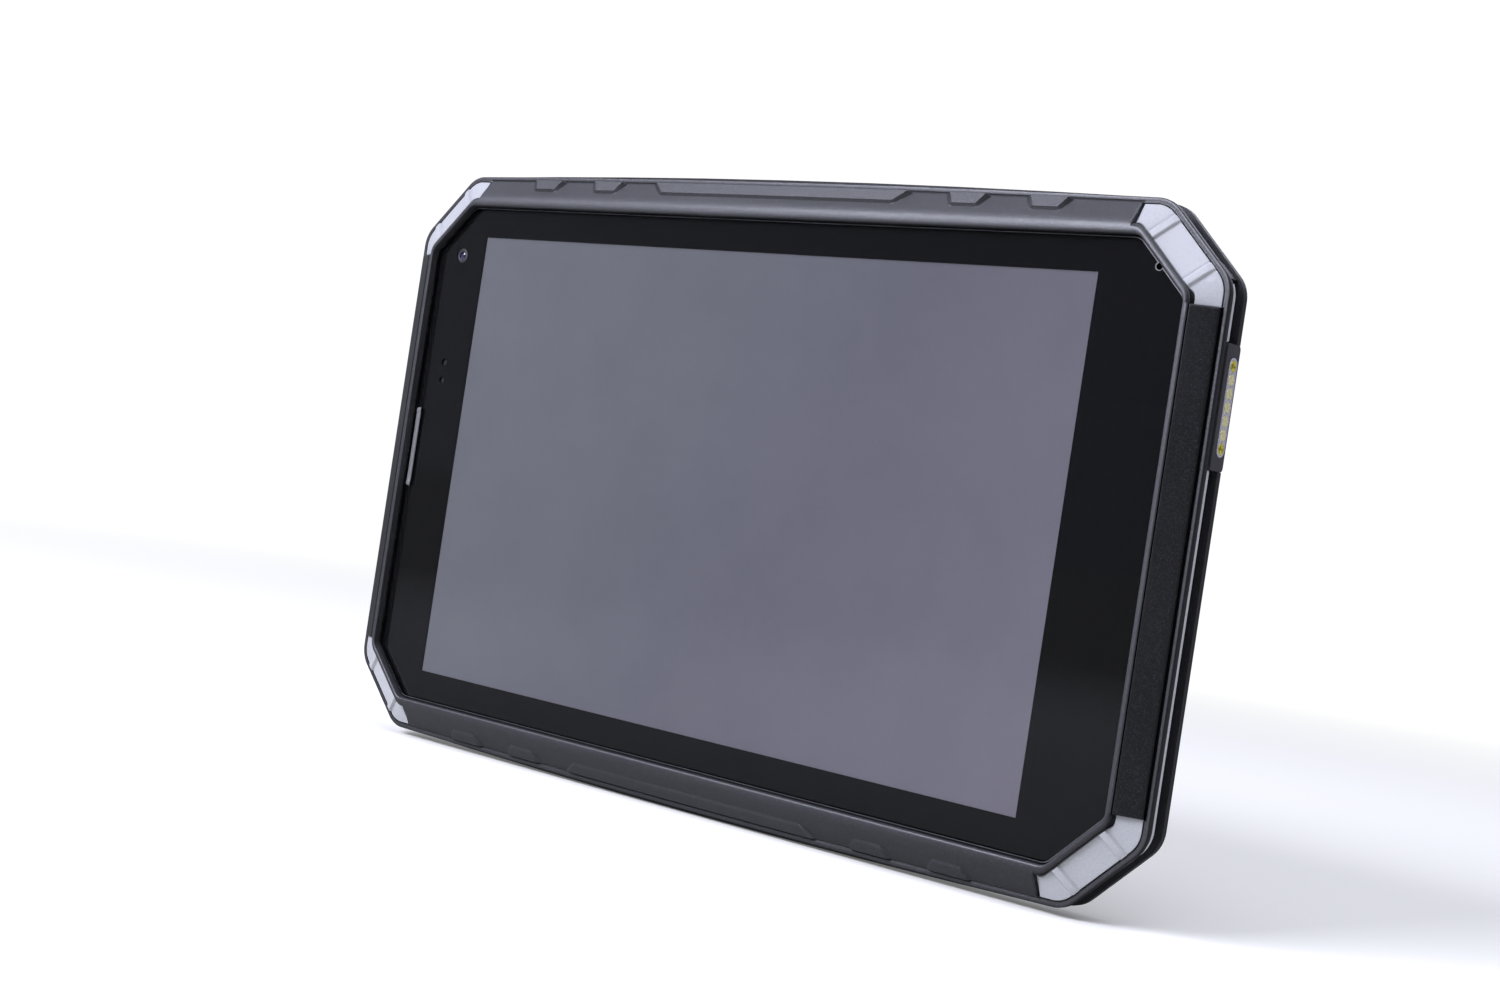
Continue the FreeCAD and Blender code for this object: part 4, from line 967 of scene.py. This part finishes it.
def earpiece_bar():
    """Slim upright rounded bar with fine cross ribs and a smooth raised tip at each end."""
    ease = [EAR_TIP * (1 - math.cos(math.pi / 2 * i / EAR_TIP_STEPS))
            for i in range(EAR_TIP_STEPS + 1)]
    stations = [EAR_LOW + e for e in ease[:-1]]
    z = EAR_LOW + EAR_TIP
    while z < EAR_HIGH - EAR_TIP - 1e-6:
        stations.append(z)
        z += RIB_PITCH / 6
    stations += [EAR_HIGH - e for e in ease[::-1]]
    across = [-1.0, -0.97, -0.9, -0.78, -0.6, -0.35, 0.0, 0.35, 0.6, 0.78, 0.9, 0.97, 1.0]

    verts = []
    for z in stations:
        end = max(0.0, min(z - EAR_LOW, EAR_HIGH - z))
        width = EAR_HALF_W
        if end < EAR_HALF_W:
            width *= math.sqrt(max(0.0, 1 - (1 - end / EAR_HALF_W) ** 2))
        width = max(width, 0.03)
        tip = 1.0 - smooth01((end - EAR_TIP * 0.75) / (EAR_TIP * 0.25))
        wave = 0.5 - 0.5 * math.cos(2 * math.pi * (z - EAR_LOW - EAR_TIP) / RIB_PITCH)
        top = (0.02 + RIB_HEIGHT * wave * (1.0 - tip) - 0.10 * tip * min(1.0, end / 0.35)
               + 0.30 * max(0.0, 1 - end / 0.35))
        for u in across:
            fall = 0.34 * (1 - math.sqrt(max(0.0, 1 - abs(u) ** 2.6)))
            verts.append(place(EAR_X + width * u, top + fall, z))

    cols, rows = len(across), len(stations)
    faces = grid_faces(rows, cols)
    ids = [0] * len(faces)
    back = len(verts)
    back_y = place(0, EAR_BACK_Y, 0).y
    for i in range(rows):
        for v in (verts[i * cols], verts[i * cols + cols - 1]):
            verts.append(Vector((v.x, back_y, v.z)))
    for i in range(rows - 1):
        left, right, left_up, right_up = range(back + 2 * i, back + 2 * i + 4)
        faces.append((i * cols, (i + 1) * cols, left_up, left))
        faces.append((i * cols + cols - 1, right, right_up, (i + 1) * cols + cols - 1))
        faces.append((left, left_up, right_up, right))
    for i in (0, rows - 1):
        front = [i * cols + j for j in range(cols)]
        faces.append(tuple(front + [back + 2 * i + 1, back + 2 * i]))
    ids += [1] * (len(faces) - len(ids))
    make_piece("earpiece_bar", verts, faces, [EARPIECE, INK], ids, sharp=50.0,
               replaces=("earpiece_grille",))


earpiece_bar()

# ---- finishes for the CAD pieces that stay ------------------------------------------------
# material, bevel width in mm, pieces
FINISHES = [
    # the mid frame wears the darker copy of the housing, painted shade
    (HOUSING_SHADED, 0.12, ("mid_frame",)),
    (REAR_SHELL, 0.2, ("back_cover",)),
    (KEY_PLASTIC, 0.0, ("power_key", "function_key_1", "function_key_2", "volume_rocker")),
    (DOOR_RUBBER, 0.12, ("io_door",)),
    (PIN_STEEL, 0.0, ("io_door_pin", "board_screws", "rocker_axle")),
    (SEAL_RUBBER, 0.0, ("io_door_seal", "glass_gasket", "perimeter_seal", "key_seals",
                        "speaker_gasket")),
    (DOCK_INSERT, 0.04, ("dock_insert",)),
    (PAD_GOLD, 0.06, ("dock_pads",)),
    (SOCKET_GOLD, 0.04, ("dock_sockets",)),
    (STRIP, 0.25, ("trim_strip_left", "trim_strip_right")),
    (SCREW_STEEL, 0.08, ("case_screws",)),
    (BRASS, 0.05, ("case_inserts", "accessory_inserts")),
    (DISPLAY, 0.0, ("display_panel",)),
    (CAMERA_RING, 0.05, ("front_camera_ring",)),
    (LENS, 0.0, ("front_camera_lens", "rear_camera_lens")),
    (WINDOW, 0.1, ("rear_windows",)),
    (COMPONENT, 0.0, ("front_camera_module", "rear_camera_module", "earpiece_receiver",
                      "loudspeaker", "microphone", "proximity_sensor", "audio_jack",
                      "key_switches", "flash_led")),
    (BOARD, 0.0, ("main_board", "io_board")),
    (TIN, 0.0, ("processor_shield", "radio_shield", "power_shield", "usb_c_port", "card_slot",
                "vibration_motor")),
    (FOIL, 0.0, ("battery_pack",)),
    (FLEX, 0.0, ("display_flex", "antennas")),
]


def finish_piece(name, mat, bevel, segments=2, soft=True):
    """Material, weld and bevel; soft pieces are shaded smooth over the bevels."""
    ob = frame["nodes"][name]
    ob.data.materials.clear()
    ob.data.materials.append(mat)
    weld = ob.modifiers.new("weld", "WELD")
    weld.merge_threshold = 2e-6
    if bevel > 0:
        mod = ob.modifiers.new("bevel", "BEVEL")
        mod.width = bevel * MM
        mod.segments = segments
        mod.limit_method = "ANGLE"
        mod.angle_limit = math.radians(30.0)
        mod.use_clamp_overlap = True
        mod.harden_normals = soft
        if soft:
            weighted = ob.modifiers.new("weighted", "WEIGHTED_NORMAL")
            weighted.mode = "FACE_AREA"
            weighted.weight = 100
            weighted.keep_sharp = True
    for polygon in ob.data.polygons:
        polygon.use_smooth = bevel > 0 and soft


for mat, bevel, pieces in FINISHES:
    for piece in pieces:
        finish_piece(piece, mat, bevel)
finish_piece("dock_block", DOCK, bevel=0.1, segments=3, soft=False)

# ---- floor ---------------------------------------------------------------------------------
FLOOR_Z = -0.0002                   # metres, just under the object
FLOOR_RADII = [0.1, 0.2, 0.35, 0.6, 1.0, 2.0, 4.0, 9.0]
FLOOR_SIDES = 64
BACKDROP = 1.02                     # brightness of floor edge and world to the camera


def floor_paper():
    """Pale paper that fades to the white backdrop away from the object."""
    m = material("floor_paper")
    weave = m.noise(scale=900.0)
    color = m.mix(m.spread(weave), (0.90, 0.89, 0.82), (0.93, 0.92, 0.85))
    paper = m.principled(Base_Color=color, Roughness=0.8,
                         Normal=m.bump(weave, strength=0.1, distance=0.0001))
    distance = m.vector("LENGTH", m.position)["Value"]
    path = m.add("ShaderNodeLightPath").outputs

    # reflections see a darker floor, the camera a slightly brighter one
    dimmed = m.add("ShaderNodeMixShader")
    dark = m.add("ShaderNodeEmission", Strength=0.0)
    m.link(m.math("MULTIPLY", path["Is Glossy Ray"], 0.65), dimmed.inputs[0])
    m.link(paper, dimmed.inputs[1])
    m.link(dark.outputs[0], dimmed.inputs[2])
    glow = m.add("ShaderNodeEmission")
    m.link(m.math("MULTIPLY", path["Is Camera Ray"], 0.14), glow.inputs["Strength"])
    near = m.add("ShaderNodeAddShader")
    m.link(dimmed.outputs[0], near.inputs[0])
    m.link(glow.outputs[0], near.inputs[1])

    far = m.add("ShaderNodeEmission")
    m.link(m.spread(path["Is Camera Ray"], low=0.16, high=BACKDROP, span=(0.0, 1.0)),
           far.inputs["Strength"])
    blend = m.add("ShaderNodeMixShader")
    m.link(m.spread(distance, span=(0.42, 0.85)), blend.inputs[0])
    m.link(near.outputs[0], blend.inputs[1])
    m.link(far.outputs[0], blend.inputs[2])
    return m.finish(blend.outputs[0])


def build_floor():
    """A disc of rings round a centre point."""
    bm = bmesh.new()
    inner = [bm.verts.new((0, 0, FLOOR_Z))]
    for radius in FLOOR_RADII:
        angles = [2 * math.pi * i / FLOOR_SIDES for i in range(FLOOR_SIDES)]
        outer = [bm.verts.new((radius * math.cos(a), radius * math.sin(a), FLOOR_Z))
                 for a in angles]
        for i in range(FLOOR_SIDES):
            k = (i + 1) % FLOOR_SIDES
            if len(inner) == 1:
                bm.faces.new((inner[0], outer[i], outer[k]))
            else:
                bm.faces.new((inner[i], outer[i], outer[k], inner[k]))
        inner = outer
    mesh = bpy.data.meshes.new("floor")
    bm.to_mesh(mesh)
    bm.free()
    floor = link_object("floor", mesh)
    mesh.materials.append(floor_paper())
    floor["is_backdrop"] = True


build_floor()

# ---- world -----------------------------------------------------------------------------------
TINT = (0.92, 0.945, 1.12)          # cool studio light
WORLD_FRONT, WORLD_SIDE, WORLD_UP = 0.15, 0.42, 0.10
WORLD_RIGHT = 0.28                  # share of the light left on the right-hand side


def build_world():
    """White to the camera. For lighting: dark straight in front of the object, brighter
    to the sides, the back and overhead, dimmed on the right."""
    world = bpy.data.worlds.new("studio")
    bpy.context.scene.world = world
    w = Shader(world, "ShaderNodeOutputWorld")
    direction = w.add("ShaderNodeSeparateXYZ")
    w.link(w.coords.outputs["Generated"], direction.inputs[0])

    def fade(axis, low, high, span):
        return w.spread(direction.outputs[axis], low, high, span,
                        interpolation_type="SMOOTHSTEP")

    level = w.math("ADD", fade("Y", WORLD_FRONT, WORLD_SIDE, span=(-0.88, -0.45)),
                   fade("Z", 0.0, WORLD_UP, span=(0.15, 0.6)))
    level = w.math("MULTIPLY", level, fade("X", 1.0, WORLD_RIGHT, span=(0.15, 0.75)))
    lighting = w.add("ShaderNodeBackground", Color=(*TINT, 1))
    w.link(level, lighting.inputs["Strength"])
    seen = w.add("ShaderNodeBackground", Color=(1, 1, 1, 1), Strength=BACKDROP)
    blend = w.add("ShaderNodeMixShader")
    path = w.add("ShaderNodeLightPath")
    w.link(path.outputs["Is Camera Ray"], blend.inputs[0])
    w.link(lighting.outputs[0], blend.inputs[1])
    w.link(seen.outputs[0], blend.inputs[2])
    w.finish(blend.outputs[0])


build_world()

# ---- lights (metres) ---------------------------------------------------------------------------
TARGET = Vector((0, 0, 0.07))


def area_light(name, offset, radiance, size, size_y):
    """Rectangular light aimed at the target; its power follows from its radiance."""
    light = bpy.data.lights.new(name, "AREA")
    light.energy = radiance * math.pi * size * size_y
    light.color = TINT
    light.shape = "RECTANGLE"
    light.size = size
    light.size_y = size_y
    ob = link_object(name, light)
    location = TARGET + offset
    ob.location = location
    ob.rotation_euler = (TARGET - location).to_track_quat("-Z", "Y").to_euler()
    return ob


area_light("key_box", Vector((-0.29, -0.82, 0.56)) * 1.13, radiance=17.0, size=0.70, size_y=0.45)
area_light("top_box", Vector((0.3, -0.2, 1.0)), radiance=2.2, size=0.85, size_y=0.85)

# a weak light behind, falling on the object only, so that the rear reads from behind
rear_box = area_light("rear_box", Vector((-0.30, 1.0, 0.50)), radiance=2.6, size=0.9, size_y=0.6)
object_only = bpy.data.collections.new("object_only")
for ob in bpy.context.scene.objects:
    if ob.type == "MESH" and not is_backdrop(ob):
        object_only.objects.link(ob)
rear_box.light_linking.receiver_collection = object_only

# ---- camera --------------------------------------------------------------------------------------
CAMERA_PLACE = (296.49220239, -357.9245543, -0.6335148)     # mm, in the working frame
# directions of the camera's own axes; it looks against CAMERA_BACK
CAMERA_RIGHT = (0.768892379, 0.621457831, 0.150315247)
CAMERA_UP = (-0.116487481, -0.0950040532, 0.988637900)
CAMERA_BACK = (0.628677323, -0.777665991, -0.000655834885)

camera_data = bpy.data.cameras.new("photo_camera")
camera_data.sensor_width = 36.0
camera_data.lens = 50.889
camera_data.clip_start = 0.01
camera_data.clip_end = 50.0
camera = link_object("photo_camera", camera_data)
pose = Matrix((CAMERA_RIGHT, CAMERA_UP, CAMERA_BACK)).transposed().to_4x4()
pose.translation = place(*CAMERA_PLACE)
camera.matrix_world = pose
bpy.context.scene.camera = camera
bpy.context.scene.view_settings.view_transform = "Standard"
